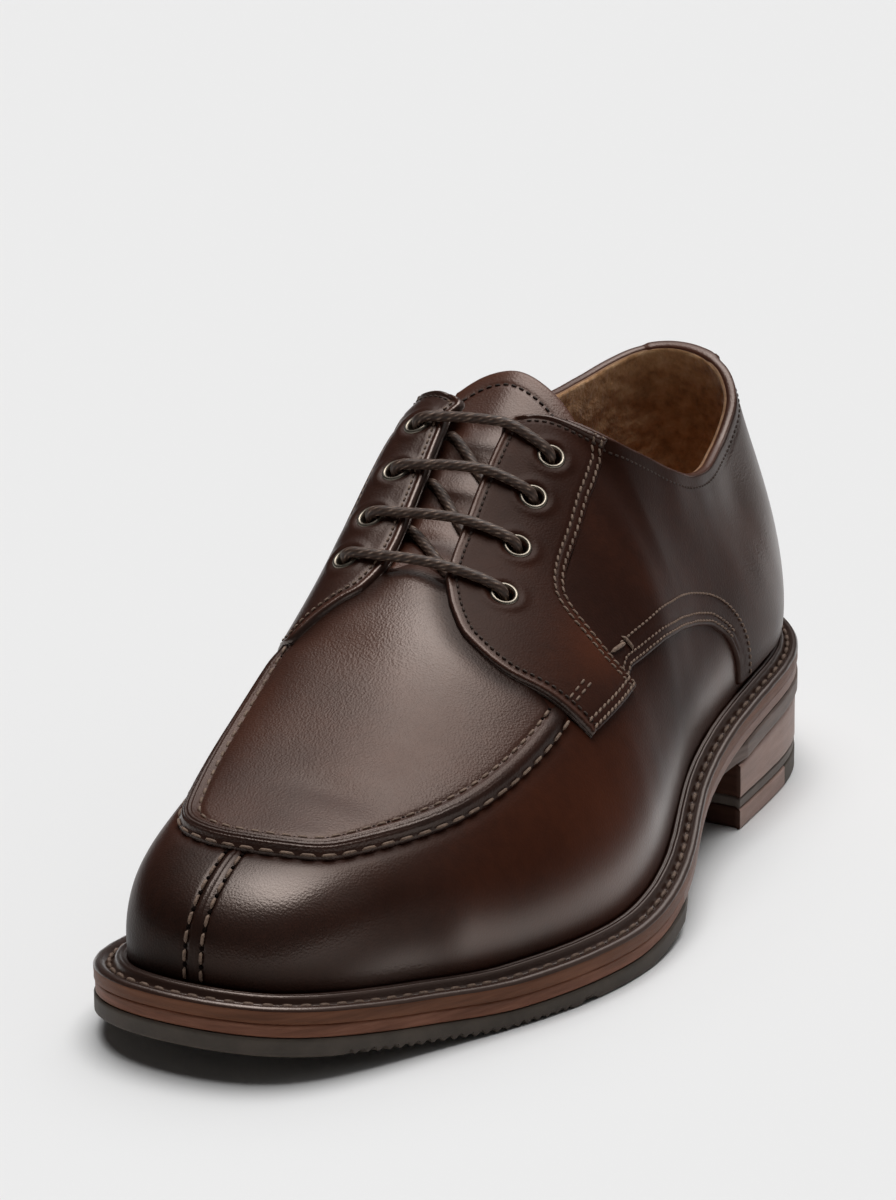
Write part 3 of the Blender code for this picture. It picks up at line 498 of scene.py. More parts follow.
def volume(mesh):
    """Enclosed volume, negative where the faces point inwards."""
    mesh.calc_loop_triangles()
    corner = np.zeros(len(mesh.loop_triangles) * 3, np.int32)
    mesh.loop_triangles.foreach_get("vertices", corner)
    place = np.zeros(len(mesh.vertices) * 3)
    mesh.vertices.foreach_get("co", place)
    a, b, c = place.reshape(-1, 3)[corner.reshape(-1, 3)].swapaxes(0, 1)
    return (a * np.cross(b, c)).sum() / 6


def piece(name, points, faces, materials, replaced=(), index=None, tone=None, shine=None):
    """A smooth mesh piece in metres that rides with the shoe."""
    mesh = bpy.data.meshes.new(name)
    faces = [face if isinstance(face, list) else face.tolist() for face in faces]
    mesh.from_pydata((points.reshape(-1, 3) * MM).tolist(), [], faces)
    for material in materials:
        mesh.materials.append(material)
    if index is not None:
        mesh.polygons.foreach_set("material_index", np.asarray(index, np.int32))
    if tone is not None:
        shine = np.full(len(mesh.vertices), PLAIN_SHINE) if shine is None else shine
        for key, values in (("tone", tone), ("shine", shine)):
            layer = mesh.attributes.new(key, "FLOAT", "POINT")
            layer.data.foreach_set("value", np.asarray(values, np.float32).ravel())
    mesh.validate()
    if volume(mesh) < 0:
        mesh.flip_normals()
    mesh.shade_smooth()
    made = bpy.data.objects.new(name, mesh)
    bpy.context.scene.collection.objects.link(made)
    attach(made, "root")
    if replaced:
        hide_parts(*replaced)


def panel(name, outer, inner, material, node, tone, shine, drop=None):
    """A closed leather panel between an outer and an inner grid; drop marks points of holes."""
    rows, cols = outer.shape[:2]
    sheet = grid_faces(rows, cols)
    if drop is not None:
        sheet = sheet[~drop.ravel()[sheet].all(1)]
    faces = closed(sheet.tolist(), rows * cols)
    tone, shine = np.stack([tone, tone]), np.stack([shine, shine])
    piece(name, np.stack([outer, inner]), faces, [material], (node,), tone=tone, shine=shine)


# Small shape helpers


def spans(table):
    """Places from the first row's start to the last one's; columns: start, steps up to the next start."""
    parts = [np.linspace(a, b, n, endpoint=False) for (a, n), (b, _) in zip(table, table[1:])]
    return np.concatenate(parts + [[table[-1][0]]])


def clustered(middle, ends):
    """Shares from 0 to 1 with extra ones close to both ends."""
    ends = np.array(ends)
    inside = np.linspace(ends[-1], 1 - ends[-1], middle)
    return np.concatenate([ends[:-1], inside, 1 - ends[:-1][::-1]])


def soft_noise(points, scale, seed):
    """Smooth noise from a few plane waves, about -1 to 1."""
    draw = np.random.default_rng(seed)
    total = np.zeros(points.shape[:-1])
    for _ in range(7):
        way = unit(draw.normal(size=3)) * (2 * np.pi / scale) * draw.uniform(0.6, 1.5)
        total += np.sin(points @ way + draw.uniform(0, 6.28))
    return total / 3.5


def uneven(points, *rows):
    """A sum of soft noises; columns: amount, scale, seed."""
    return sum(amount * soft_noise(points, scale, seed) for amount, scale, seed in rows)


def patches(points, rows):
    """A sum of soft patches; columns: amount, centre, radius along each axis."""
    return sum(amount * np.exp(-(((points - np.array(centre)) / np.array(radius)) ** 2).sum(-1))
               for amount, centre, radius in rows)


def hill(distance, at, width, rise, power=2):
    """A soft ridge at a distance from an edge, or a groove where rise is negative."""
    return rise * np.exp(-((distance - at) / width) ** power)


def rounded(distance, radius):
    """Height share of a rounded edge at a distance from it."""
    s = np.clip(1 - distance / radius, 0, 1)
    return np.sqrt(1 - s * s)


def level_row(grid, normal, distance, value, other=None):
    """Line across a grid's columns where the distance from an edge reaches a value, clear of another edge."""
    cols = grid.shape[1]
    place = np.array([np.interp(value, distance[:, j], np.arange(len(grid))) for j in range(cols)])
    k = np.clip(place.astype(int), 0, len(grid) - 2)
    part = (place - k)[:, None]
    number = np.arange(cols)
    path = grid[k, number] * (1 - part) + grid[k + 1, number] * part
    kept = np.full(cols, True) if other is None else other[k, number] >= value - 0.1
    return path[kept], unit(normal[k, number])[kept]


def turned(grid):
    """A grid whose last column has become its first row."""
    return grid[:, ::-1].swapaxes(0, 1)


# Materials


class Look:
    """A Principled material with short ways to add nodes to it."""

    def __init__(self, name, layers=None):
        self.material = bpy.data.materials.new(name)
        self.material.use_nodes = True
        self.nodes, self.links = self.material.node_tree.nodes, self.material.node_tree.links
        self.place = self.nodes.new("ShaderNodeTexCoord").outputs["Object"]
        if layers:
            self.place = self.node("Mapping", Vector=self.place, Scale=(1.0, 1.0, layers)).outputs["Vector"]

    def feed(self, socket, value):
        if isinstance(value, bpy.types.NodeSocket):
            self.links.new(value, socket)
        else:
            socket.default_value = value

    def fill(self, node, values):
        """Set inputs, as numbers or links, and other settings of a node by name."""
        for key, value in values.items():
            title = key.replace("_", " ")
            if title in node.inputs:
                self.feed(node.inputs[title], value)
            else:
                setattr(node, key, value)

    def node(self, kind, **values):
        node = self.nodes.new("ShaderNode" + kind)
        self.fill(node, values)
        return node

    def texture(self, scale, kind="TexNoise", **values):
        """A texture in the shoe's own coordinates, in cells per metre."""
        return self.node(kind, Vector=self.place, Scale=scale, **values).outputs[0]

    def attribute(self, name):
        return self.node("Attribute", attribute_name=name).outputs["Fac"]

    def math(self, operation, *sources):
        node = self.node("Math", operation=operation)
        for socket, value in zip(node.inputs, sources):
            self.feed(socket, value)
        return node.outputs[0]

    def between(self, source, low, high):
        return self.node("MapRange", Value=source, To_Min=low, To_Max=high).outputs["Result"]

    def ramp(self, source, stops):
        """A colour ramp; stops are (place, colour)."""
        node = self.node("ValToRGB", Fac=source)
        band = node.color_ramp.elements
        while len(band) < len(stops):
            band.new(0.5)
        for element, (place, colour) in zip(band, stops):
            element.position = place
            element.color = (*colour, 1.0)
        return node.outputs["Color"]

    def bump(self, height, strength, distance, below=None):
        node = self.node("Bump", Height=height, Strength=strength, Distance=distance)
        if below is not None:
            self.links.new(below, node.inputs["Normal"])
        return node.outputs["Normal"]

    def dressed(self, **values):
        """The material, with these inputs on its shader."""
        self.fill(self.nodes["Principled BSDF"], values)
        return self.material


def leather(name, dark, mid, warm, grain=0.5, rough=(0.34, 0.46), vein=0.02):
    """Polished leather: burnished patches, pebbled grain, faint veins; tone and shine come with the piece."""
    look = Look(name)
    shine = look.attribute("shine")
    cloud = look.math("MULTIPLY", look.texture(24.0, Detail=5.0, Roughness=0.62), 0.55)
    fine = look.math("MULTIPLY", look.texture(420.0, Detail=3.0), 0.14)
    level = look.math("ADD", look.math("ADD", look.attribute("tone"), cloud), fine)
    matt = look.between(look.texture(70.0, Detail=3.0), *rough)
    streak = look.texture(210.0, Detail=6.0, Roughness=0.7, Distortion=1.8)
    pebble = look.texture(1700.0, "TexVoronoi", feature="SMOOTH_F1", Smoothness=0.5, Randomness=1.0)
    normal = look.bump(streak, vein, 0.0004)
    normal = look.bump(pebble, grain, 0.00008, normal)
    normal = look.bump(look.texture(3600.0, Detail=2.0), grain * 0.6, 0.00004, normal)
    return look.dressed(
        Base_Color=look.ramp(level, ((0.18, dark), (0.48, mid), (0.85, warm))),
        Roughness=look.math("SUBTRACT", matt, look.math("MULTIPLY", shine, 0.10)),
        Specular_IOR_Level=look.between(shine, 0.02, 1.0), Specular_Tint=(1.0, 0.79, 0.68, 1.0),
        Coat_Weight=look.between(shine, -0.25, 0.5), Coat_Roughness=0.22, Normal=normal, Coat_Normal=normal)


def plain(name, stops, scale, rough, bumps, specular, layers=None, **values):
    """A material with a noisy colour ramp and layers of bump."""
    look = Look(name, layers)
    noise = look.texture(scale, Detail=5.0, Roughness=0.6)
    normal = None
    for grain, strength, distance in bumps:
        normal = look.bump(look.texture(grain, Detail=4.0), strength, distance, normal)
    if normal is not None:
        values["Normal"] = normal
    return look.dressed(Base_Color=look.ramp(noise, stops), Roughness=look.between(noise, *rough),
                        Specular_IOR_Level=specular, **values)


def braid(name):
    """Waxed braid: the raised strands are lighter and the hollows between them darker, painted highlight and
    shade.
    """
    look = Look(name)
    stops = ((0.1, (0.036, 0.020, 0.014)), (0.5, (0.092, 0.055, 0.039)), (0.85, (0.29, 0.205, 0.155)))
    colour = look.ramp(look.attribute("tone"), stops)
    normal = look.bump(look.texture(3000.0, Detail=3.0), 0.4, 0.0002)
    return look.dressed(Base_Color=colour, Roughness=0.5, Specular_IOR_Level=0.35, Normal=normal)


DARK, MID, WARM = (0.008, 0.0028, 0.0018), (0.033, 0.0105, 0.0060), (0.075, 0.0210, 0.0095)
UPPER_LEATHER = leather("upper_leather_burnished", DARK, MID, WARM)
PLUG_LEATHER = leather("plug_leather", (0.016, 0.0064, 0.0044), (0.046, 0.0165, 0.0102),
                       (0.090, 0.030, 0.016), 0.85)
QUARTER_LEATHER = leather("quarter_leather", DARK, (0.027, 0.0086, 0.0050), WARM, 0.5, (0.36, 0.5), 0.03)
WELT_LEATHER = leather("welt_leather_dressed", (0.010, 0.0042, 0.0029), (0.026, 0.0105, 0.0070),
                       (0.05, 0.020, 0.012), 0.3)
LINING = plain("lining_suede",
               ((0.28, (0.40, 0.20, 0.085)), (0.5, (0.66, 0.36, 0.17)), (0.74, (0.88, 0.56, 0.31))),
               230.0, (0.85, 1.0), ((900.0, 0.6, 0.0006), (330.0, 0.5, 0.0012)), 0.1, Sheen_Weight=0.4)
METAL = plain("eyelet_antique", ((0.3, (0.20, 0.172, 0.138)), (0.7, (0.32, 0.282, 0.23))),
              300.0, (0.3, 0.4), (), 0.4, Metallic=1.0)
LACE = braid("lace_braid")

CUT_EDGE = ((500.0, 0.35, 0.0003),)
RUBBER_GRAIN = ((1400.0, 0.3, 0.0002),)
TWIST = ((4000.0, 0.6, 0.0002),)
# columns: name, colour stops, cells per metre, roughness range, bumps (cells per metre, strength, distance),
# specular level, layers
PLAIN_LOOKS = (
    ("lining_edge", ((0.3, (0.26, 0.14, 0.075)), (0.7, (0.42, 0.25, 0.15))),
     500.0, (0.7, 0.9), ((1500.0, 0.4, 0.0002),), 0.2),
    ("welt_side", ((0.3, (0.095, 0.034, 0.015)), (0.7, (0.185, 0.074, 0.038))),
     40.0, (0.35, 0.55), ((700.0, 0.3, 0.0002),), 0.15, 12.0),
    ("midsole_edge", ((0.25, (0.11, 0.042, 0.022)), (0.5, (0.19, 0.076, 0.044)), (0.8, (0.28, 0.125, 0.078))),
     60.0, (0.35, 0.55), CUT_EDGE, 0.15, 9.0),
    ("heel_leather", ((0.25, (0.23, 0.140, 0.110)), (0.5, (0.32, 0.20, 0.163)), (0.8, (0.41, 0.275, 0.228))),
     50.0, (0.35, 0.55), CUT_EDGE, 0.3, 8.0),
    # Darker look for the heel's front face: painted shade
    ("heel_front", ((0.25, (0.050, 0.021, 0.013)), (0.8, (0.095, 0.042, 0.028))),
     60.0, (0.45, 0.6), ((500.0, 0.3, 0.0002),), 0.15, 9.0),
    ("waist_side", ((0.25, (0.15, 0.078, 0.058)), (0.5, (0.22, 0.122, 0.094)), (0.8, (0.30, 0.18, 0.145))),
     60.0, (0.35, 0.55), CUT_EDGE, 0.3, 9.0),
    ("waist_edge", ((0.3, (0.10, 0.07, 0.058)), (0.7, (0.20, 0.145, 0.122))),
     60.0, (0.4, 0.6), ((600.0, 0.3, 0.0003),), 0.3, 9.0),
    ("sole_rubber", ((0.3, (0.052, 0.040, 0.031)), (0.7, (0.088, 0.069, 0.054))),
     120.0, (0.5, 0.7), RUBBER_GRAIN, 0.3),
    ("heel_rubber", ((0.3, (0.105, 0.082, 0.068)), (0.7, (0.155, 0.124, 0.105))),
     120.0, (0.5, 0.7), RUBBER_GRAIN, 0.3),
    ("sock_leather", ((0.3, (0.20, 0.11, 0.06)), (0.7, (0.30, 0.18, 0.10))),
     90.0, (0.5, 0.7), ((900.0, 0.4, 0.0003),), 0.3),
    ("thread_brown", ((0.3, (0.11, 0.068, 0.048)), (0.7, (0.27, 0.185, 0.135))),
     900.0, (0.5, 0.7), TWIST, 0.3),
    ("thread_dark", ((0.3, (0.020, 0.011, 0.008)), (0.7, (0.062, 0.037, 0.026))),
     900.0, (0.5, 0.7), TWIST, 0.3),
    ("thread_tan", ((0.3, (0.085, 0.054, 0.039)), (0.7, (0.22, 0.148, 0.11))),
     900.0, (0.5, 0.7), TWIST, 0.3),
    # Dark needle holes: painted shade
    ("needle_hole", ((0.3, (0.004, 0.002, 0.0015)), (0.7, (0.007, 0.0035, 0.0025))),
     900.0, (0.8, 0.9), (), 0.05),
)
LOOKS = {row[0]: plain(*row) for row in PLAIN_LOOKS}

# Stitches

# Thread of each row that isn't brown
THREADS = {"stitches_welt": "thread_tan", "stitches_dark": "thread_dark", "needle_holes": "needle_hole"}
# columns: pitch, share of the pitch that a stitch takes, width, height, lean to the side
STITCH = {
    "toe": (4.6, 0.70, 1.0, 0.42, 0.0),
    "lip": (4.1, 0.68, 0.85, 0.38, 0.0),
    "apron edge": (5.2, 0.78, 0.85, 0.4, 0.0),
    "facing": (2.1, 0.72, 0.62, 0.28, 0.0),
    "facing back": {LATERAL: (2.4, 0.88, 0.72, 0.3, 0.2), MEDIAL: (2.4, 0.88, 0.72, 0.14, 0.2)},
    "quarter": (2.0, 0.72, 0.6, 0.28, 0.1),
    "wing": (2.0, 0.72, 0.6, 0.28, 0.0),
    "collar": (1.9, 0.7, 0.55, 0.26, 0.0),
    "tongue": (2.4, 0.72, 0.7, 0.3, 0.0),
    "welt": (4.8, 0.72, 1.15, 0.6, 0.0),
}
STITCH_SINK = 0.35     # share of a stitch's height that is sunk in the leather
SOLIDS = {}


def add_solid(group, points, faces):
    """Store a small solid that is joined with its group later."""
    store = SOLIDS.setdefault(group, {"points": [], "faces": [], "count": 0})
    store["faces"] += [[v + store["count"] for v in face] for face in faces]
    store["points"].append(points)
    store["count"] += len(points)


def ring_frame(normal):
    """Two directions square to a normal and to each other."""
    along = unit(np.cross(normal, (1.0, 0.0, 0.0) if abs(normal[2]) > 0.95 else (0.0, 0.0, 1.0)))
    return along, np.cross(normal, along)


def circle(normal, count):
    """Points of a unit circle round a normal."""
    along, across = ring_frame(normal)
    angle = np.linspace(0, 2 * np.pi, count, endpoint=False)[:, None]
    return np.cos(angle) * along + np.sin(angle) * across


def add_pit(point, normal, radius, count=8):
    """A needle hole: a flat, dark lens set into the surface, painted shade standing for the hole."""
    ring = point + radius * circle(normal, count) - 0.02 * normal
    points = np.concatenate([ring, [point + 0.10 * normal, point - 0.2 * normal]])
    pairs = [(k, (k + 1) % count) for k in range(count)]
    faces = [[a, b, count] for a, b in pairs] + [[b, a, count + 1] for a, b in pairs]
    add_solid("needle_holes", points, faces)


def stitch(group, points, normals, style, holes=0.0):
    """Lay stitches along a line in space, with needle holes of a radius between them."""
    pitch, length, width, height, lean = style
    run = running(points)
    count = max(1, int(round(run[-1] / pitch)))
    step = run[-1] / count
    stations = np.linspace(-1, 1, 7)
    swell = np.sqrt(np.maximum(1 - stations ** 4, 0.0)) * 0.85 + 0.15
    angle = np.linspace(0, 2 * np.pi, 7)[:-1]
    if holes:
        at = np.arange(count + 1) * step
        for spot, up in zip(sample(points, run, at), unit(sample(normals, run, at))):
            add_pit(spot, up, holes)
    for middle in (np.arange(count) + 0.5) * step:
        at = np.clip(middle + stations * 0.5 * length * step, 0, run[-1])
        path, normal = sample(points, run, at), unit(sample(normals, run, at))
        across = unit(np.cross(normal, unit(np.gradient(path, axis=0))))
        rise = height * ((swell - 1.0) * 1.2 + 1 - STITCH_SINK)
        path = path + across * (lean * stations)[:, None] + normal * rise[:, None]
        wide, tall = (np.cos(angle) * width / 2)[:, None], (np.sin(angle) * height)[:, None]
        ring = path[:, None] + across[:, None] * wide * swell[:, None, None]
        ring = ring + normal[:, None] * tall * swell[:, None, None]
        add_solid(group, ring.reshape(-1, 3), tube_faces(*ring.shape[:2]))


def stitch_line(group, side, line, inward, distance, lift, style, cut=(0.0, 1.0), holes=0.0, count=240):
    """Stitches on a panel, parallel to one of its edges; inward is +1 or -1 for the side they lie on."""
    line = spread(side, line, count)
    points, normal = surface(side, line)
    away = np.cross(normal, unit(np.gradient(points, axis=0))) * inward
    row = np.stack(on_last(side, points + away * distance, *line.T), 1)
    points, normal = surface(side, row[int(cut[0] * count):max(int(cut[1] * count), 2)])
    stitch(group, points + normal * lift, normal, style, holes)


def lay_stitches():
    """Join the small solids of each group into one piece."""
    for group, store in SOLIDS.items():
        thread = LOOKS[THREADS.get(group, "thread_brown")]
        piece(group, np.concatenate(store["points"]), store["faces"], [thread])


# Upper

# Heights of the layers over the wall of the upper
QUARTER_TOP = 1.3
STAY_TOP = 2.2
STRIP_TOP = 2.1
SUNK = -0.25
EYELET_HOLE = 3.1
RIM_END, RIM_COUNT = 0.33, 331


def smooth_rims():
    """Shares of the apron seam on both sides, smoothed in space round the toe."""
    u = np.linspace(0, RIM_END, RIM_COUNT)
    guess = {side: lookup(APRON_LINE[side], u) for side in SIDES}
    lines = {side: last_points(side, u, guess[side]) for side in SIDES}
    whole = eased(np.concatenate([lines[LATERAL][::-1], lines[MEDIAL][1:]]), 900)
    rims = {}
    for side, line in ((LATERAL, whole[:RIM_COUNT][::-1]), (MEDIAL, whole[RIM_COUNT - 1:])):
        uu, tt = on_last(side, line, u, guess[side], 14)
        rims[side] = (np.maximum.accumulate(uu), tt)
    middle = (rims[LATERAL][1][0] + rims[MEDIAL][1][0]) / 2
    for side in rims:
        rims[side][0][0] = 0.0
        rims[side][1][0] = middle
    return rims


RIMS = smooth_rims()


def rim_share(side, u):
    """Share up the section of the apron seam."""
    return np.interp(u, *RIMS[side])


def apron_edge(side, count=260):
    """The apron seam as a line of shares."""
    u = np.linspace(0, 0.318, count)
    return np.stack([u, rim_share(side, u)], 1)


def eyelet_centres():
    """Place and normal of each eyelet on the last."""
    found = {}
    for side in SIDES:
        for k, (u, half) in enumerate(EYELETS[side]):
            t = share_at(side, u, half)
            found[side, k] = (last_points(side, np.array([u]), np.array([t]))[0], last_normal(side, u, t))
    return found


EYELET_AT = eyelet_centres()


def in_holes(points):
    """Points of a grid that lie inside an eyelet's hole."""
    inside = np.zeros(points.shape[:-1], bool)
    for centre, normal in EYELET_AT.values():
        away = points - centre
        height = away @ normal
        flat = np.linalg.norm(away - height[..., None] * normal, axis=-1)
        inside |= (flat < EYELET_HOLE) & (np.abs(height) < 6.0)
    return inside


# columns: share along the shoe, columns of points up to the next
UPPER_SPANS = ((0.0, 13), (0.02, 33), (0.18, 33), (0.345, 13), (0.361, 33), (COLLAR_START, 89), (1.0, 1))
TOE_ROW = 2.3          # distance of the stitches from the split toe's seam
# Split toe, a hollow between two swollen edges; columns: distance from the seam, width, rise, power
TOE_SEAM = ((0.0, 1.3, 0.30, 4), (0.0, 0.35, -0.25, 2), (TOE_ROW, 0.5, -0.38, 2))
UPPER_UNEVEN = ((0.10, 46.0, 3), (0.05, 17.0, 4))
LINING_NAP = ((0.30, 4.2, 8), (0.22, 2.6, 12), (0.3, 11.0, 9))
# Burnished patches, and the toe darker towards the bottom as painted shade; columns: amount, centre, radius
UPPER_TONE = (
    (0.30, (44, -32, 40), (26, 34, 24)),
    (0.10, (34, -84, 36), (20, 22, 18)),
    (0.26, (-44, -104, 34), (16, 22, 22)),
    (0.20, (-50, -20, 50), (16, 40, 26)),
    # The toe darker, most towards the bottom: painted shade
    (-0.24, (-4, -128, 26), (64, 34, 26)),
)
# Polished patches, most at the toe; columns: amount, centre, radius
UPPER_SHINE = (
    (0.97, (1, -126, 38.0), (27, 18, 11.0)),
    (0.2, (20, -100, 40), (22, 24, 12)),
    (0.85, (24, -104, 20), (14, 17, 6.5)),
    (0.3, (-40, -110, 40), (14, 20, 14)),
)
# Middle of the polished band above the welt on the lateral wall
LOW_BAND = ((34, -84, 24), (39, -72, 22), (48, -34, 24), (46, -10, 29), (36, 25, 32), (28, 54, 38),
            (26, 77, 43))
LOW_BAND_WIDTH, LOW_BAND_SHINE = 6.5, 0.85
UPPER_BASE_TONE, UPPER_BASE_SHINE = 0.10, 0.035
SEAM_WIDTH, SEAM_DRAWN, SEAM_DULL = 1.8, 0.45, 0.85


def build_upper(rows=64):
    """One wall round the shoe: columns from toe to heel on the lateral side and back on the medial one."""
    grids, shares = [], []
    u = spans(UPPER_SPANS)
    for side in SIDES:
        tops = np.array([top_share(side, value, WALL_TUCK) for value in u])
        share = np.stack(np.broadcast_arrays(u[:, None], np.linspace(0, 1, rows) * tops[:, None]), -1)
        turn = slice(None) if side == LATERAL else slice(-2, 0, -1)
        shares.append(share[turn])
        grids.append(last_points(side, share[..., 0], share[..., 1])[turn])
    base, share = np.concatenate(grids), np.concatenate(shares)
    square = np.cross(np.roll(base, -1, 0) - np.roll(base, 1, 0), np.gradient(base, axis=1))
    normal = unit(square)
    weak = np.linalg.norm(square, axis=-1) < 0.02
    for j in range(1, rows):
        normal[weak[:, j], j] = normal[weak[:, j], j - 1]
    lift = uneven(base, *UPPER_UNEVEN)
    toe = Edge(last_points(LATERAL, np.zeros(90), np.linspace(0, 0.74, 90))).distance(base)
    front = (share[..., 0] < 0.06) & (share[..., 1] < 0.76)
    lift += np.where(front, sum(hill(toe, *row) for row in TOE_SEAM), 0.0)
    # The wall is drawn in along the apron, and dull there
    dull = np.zeros(base.shape[:2])
    for side, part in ((LATERAL, slice(0, len(grids[0]))), (MEDIAL, slice(len(grids[0]), None))):
        seam = Edge(last_points(side, *apron_edge(side).T)).distance(base[part])
        dull[part] = hill(seam, 0.0, SEAM_WIDTH, 1.0) * (share[part][..., 0] < 0.32)
    lift -= SEAM_DRAWN * dull
    nap = 0.8 * uneven(base, *LINING_NAP) * np.clip((1 - share[..., 1]) / 0.05, 0, 1)
    outer = base + normal * lift[..., None]
    inner = base - normal * (WALL + 0.4 + nap)[..., None]
    sheet = grid_faces(len(base), rows, wrap=True)
    sheet = sheet[~in_holes(base).ravel()[sheet].all(1)].tolist()
    faces = closed(sheet, len(base) * rows)
    # Lining inside and under the foot of the wall, and the lining's edge along the collar
    wall = np.array(faces[2 * len(sheet):])
    foot, top = ((wall[:, :2] % rows == row).all(1) for row in (0, rows - 1))
    behind = share[:, 0, 0][wall[:, 0] // rows] >= COLLAR_START + 0.06
    index = np.concatenate([np.repeat((0, 1), len(sheet)), np.where(foot, 1, np.where(top & behind, 2, 0))])
    tone = UPPER_BASE_TONE + uneven(base, (0.05, 60.0, 11)) + patches(base, UPPER_TONE)
    band = hill(Edge(np.array(LOW_BAND, float)).distance(base), 0.0, LOW_BAND_WIDTH, LOW_BAND_SHINE)
    shine = (UPPER_BASE_SHINE + patches(base, UPPER_SHINE) + band) * (1 - SEAM_DULL * dull)
    looks = [UPPER_LEATHER, LINING, LOOKS["lining_edge"]]
    piece("upper_wall", np.stack([outer, inner]), faces, looks, ("upper",), index,
          np.stack([tone, tone]), np.stack([shine, shine]))
    toe_rows()


def toe_rows(count=120):
    """Two rows of stitches along the split toe."""
    t = np.linspace(0.02, 0.715, count)
    for side in SIDES:
        points, normal = surface(side, np.stack([np.zeros(count), t], 1))
        away = np.cross(unit(np.gradient(points, axis=0)), normal) * side
        row = np.stack(on_last(side, points + away * TOE_ROW, np.full(count, 0.012), t), 1)
        place, up = surface(side, row)
        stitch("stitches_toe", place - up * 0.1, up, STITCH["toe"], 0.62)


# Apron plug with its rolled edge

PLUG_ROWS = 150
PLUG_SPANS = ((0.0, 33), (0.30, 28), (1.0, 1))
# Profile of the plug's edge; columns: distance from the edge, height
LIP_PROFILE = ((0.0, -0.6), (0.3, 0.35), (0.7, 0.75), (1.2, 1.15), (1.8, 1.95), (2.5, 2.45), (3.4, 2.6),
               (4.4, 2.45), (5.2, 2.05), (5.8, 1.5), (6.3, 1.2), (7.0, 1.42), (8.0, 1.5), (400.0, 1.5))
LIP_WIDTH = 4.6
LIP_RIBS, RIB_HEIGHT = 0.95, 0.13
# Hollows where the vamp bends and near the toe; columns: height, centre, radius
PLUG_CREASES = (
    (-0.9, (-3, -88, 56), (12, 5, 8)),
    (-0.5, (-34, -42, 76), (16, 7, 10)),
    (0.3, (-8, -36, 80), (18, 8, 10)),
)
PLUG_SHINE = ((0.3, (-8, -35, 84), (16, 26, 14)),)
PLUG_DIVE = 2.9        # how far its rear end goes down under the tongue
UNDER_WIDTH, UNDER_DEPTH = 4.5, 0.9    # dent beside the front edges of the facings
# Painted shade in the dent beside the facings' front edges, where they cast shadow on the plug, and less
# polish there
UNDER_PAINTED_SHADE, UNDER_DULL = 0.3, 0.75
PLUG_BASE_TONE, PLUG_BASE_SHINE = 0.14, 0.35
LIP_DARKER = 0.22
LIP_SHINE = ((0.20, 0.26), (0.2, -0.2))         # shares along the shoe, and the polish added to the lip there
RIBS_IN, RIBS_OUT = (1.6, 2.2), (5.4, 4.8)      # distances from the edge over which the ribs fade in and out
# Shares along the shoe over which the facings cover the plug, dent it beside them, and it goes down behind
COVERED_FROM, DENTED_FROM, DIVE_SPAN = (0.290, 0.306), (0.27, 0.29), (0.332, 0.363)
COVERED_NEAR, COVERED_LOWER = (14, 8), 0.55     # distance from the edge, share of the height taken off
# Rows along the lip; columns: style, distance from the edge, height, share of the seam, needle holes
LIP_ROWS = (("lip", 6.3, 1.2, 0.93, 0.5), ("apron edge", 0.55, 0.6, 0.95, 0.0))


def plug_shares(side):
    """Shares of the plug's grid: rows from the toe back, columns from the seam to the ridge."""
    across = spans(PLUG_SPANS)
    u, t = np.zeros((2, PLUG_ROWS, len(across)))
    for j, share in enumerate(across):
        guess = 0.5 + 0.5 * share
        for _ in range(5):
            end = lookup(PLUG_END, guess)[0] + 0.024 * (1 - share)
            rim = float(rim_share(side, end))
            guess = rim + (1 - rim) * share
        u[:, j] = np.linspace(0, 1, PLUG_ROWS) * end
        rims = rim_share(side, u[:, j])
        t[:, j] = rims + (1 - rims) * share
    return u, t


def weld(points, faces, digits=2):
    """Merge points that fall together and drop faces that collapse."""
    _, first, number = np.unique(np.round(points, digits), axis=0, return_index=True, return_inverse=True)
    number = number.ravel()
    kept = []
    for face in number[faces]:
        ring = [int(v) for k, v in enumerate(face) if v != face[k - 1]]
        if len(set(ring)) == len(ring) > 2:
            kept.append(ring)
    return points[first], kept, number


def face_normals(points, faces):
    """Normals of points from the faces round them."""
    total = np.zeros_like(points)
    quads = np.array([face if len(face) == 4 else face + face[-1:] for face in faces])
    corner = points[quads]
    area = np.cross(corner[:, 2] - corner[:, 0], corner[:, 3] - corner[:, 1])
    for k in range(4):
        np.add.at(total, quads[:, k], area)
    return unit(total)


def smooth_points(points, faces, weight, rounds):
    """Move points towards the middle of their neighbours, with a weight for each point."""
    edges = np.array([(a, b) for face in faces for a, b in zip(face, face[1:] + face[:1])])
    for _ in range(rounds):
        total = np.zeros_like(points)
        degree = np.zeros(len(points))
        for a, b in ((0, 1), (1, 0)):
            np.add.at(total, edges[:, a], points[edges[:, b]])
            np.add.at(degree, edges[:, a], 1)
        points = points + (total / degree[:, None] - points) * weight[:, None]
    return points


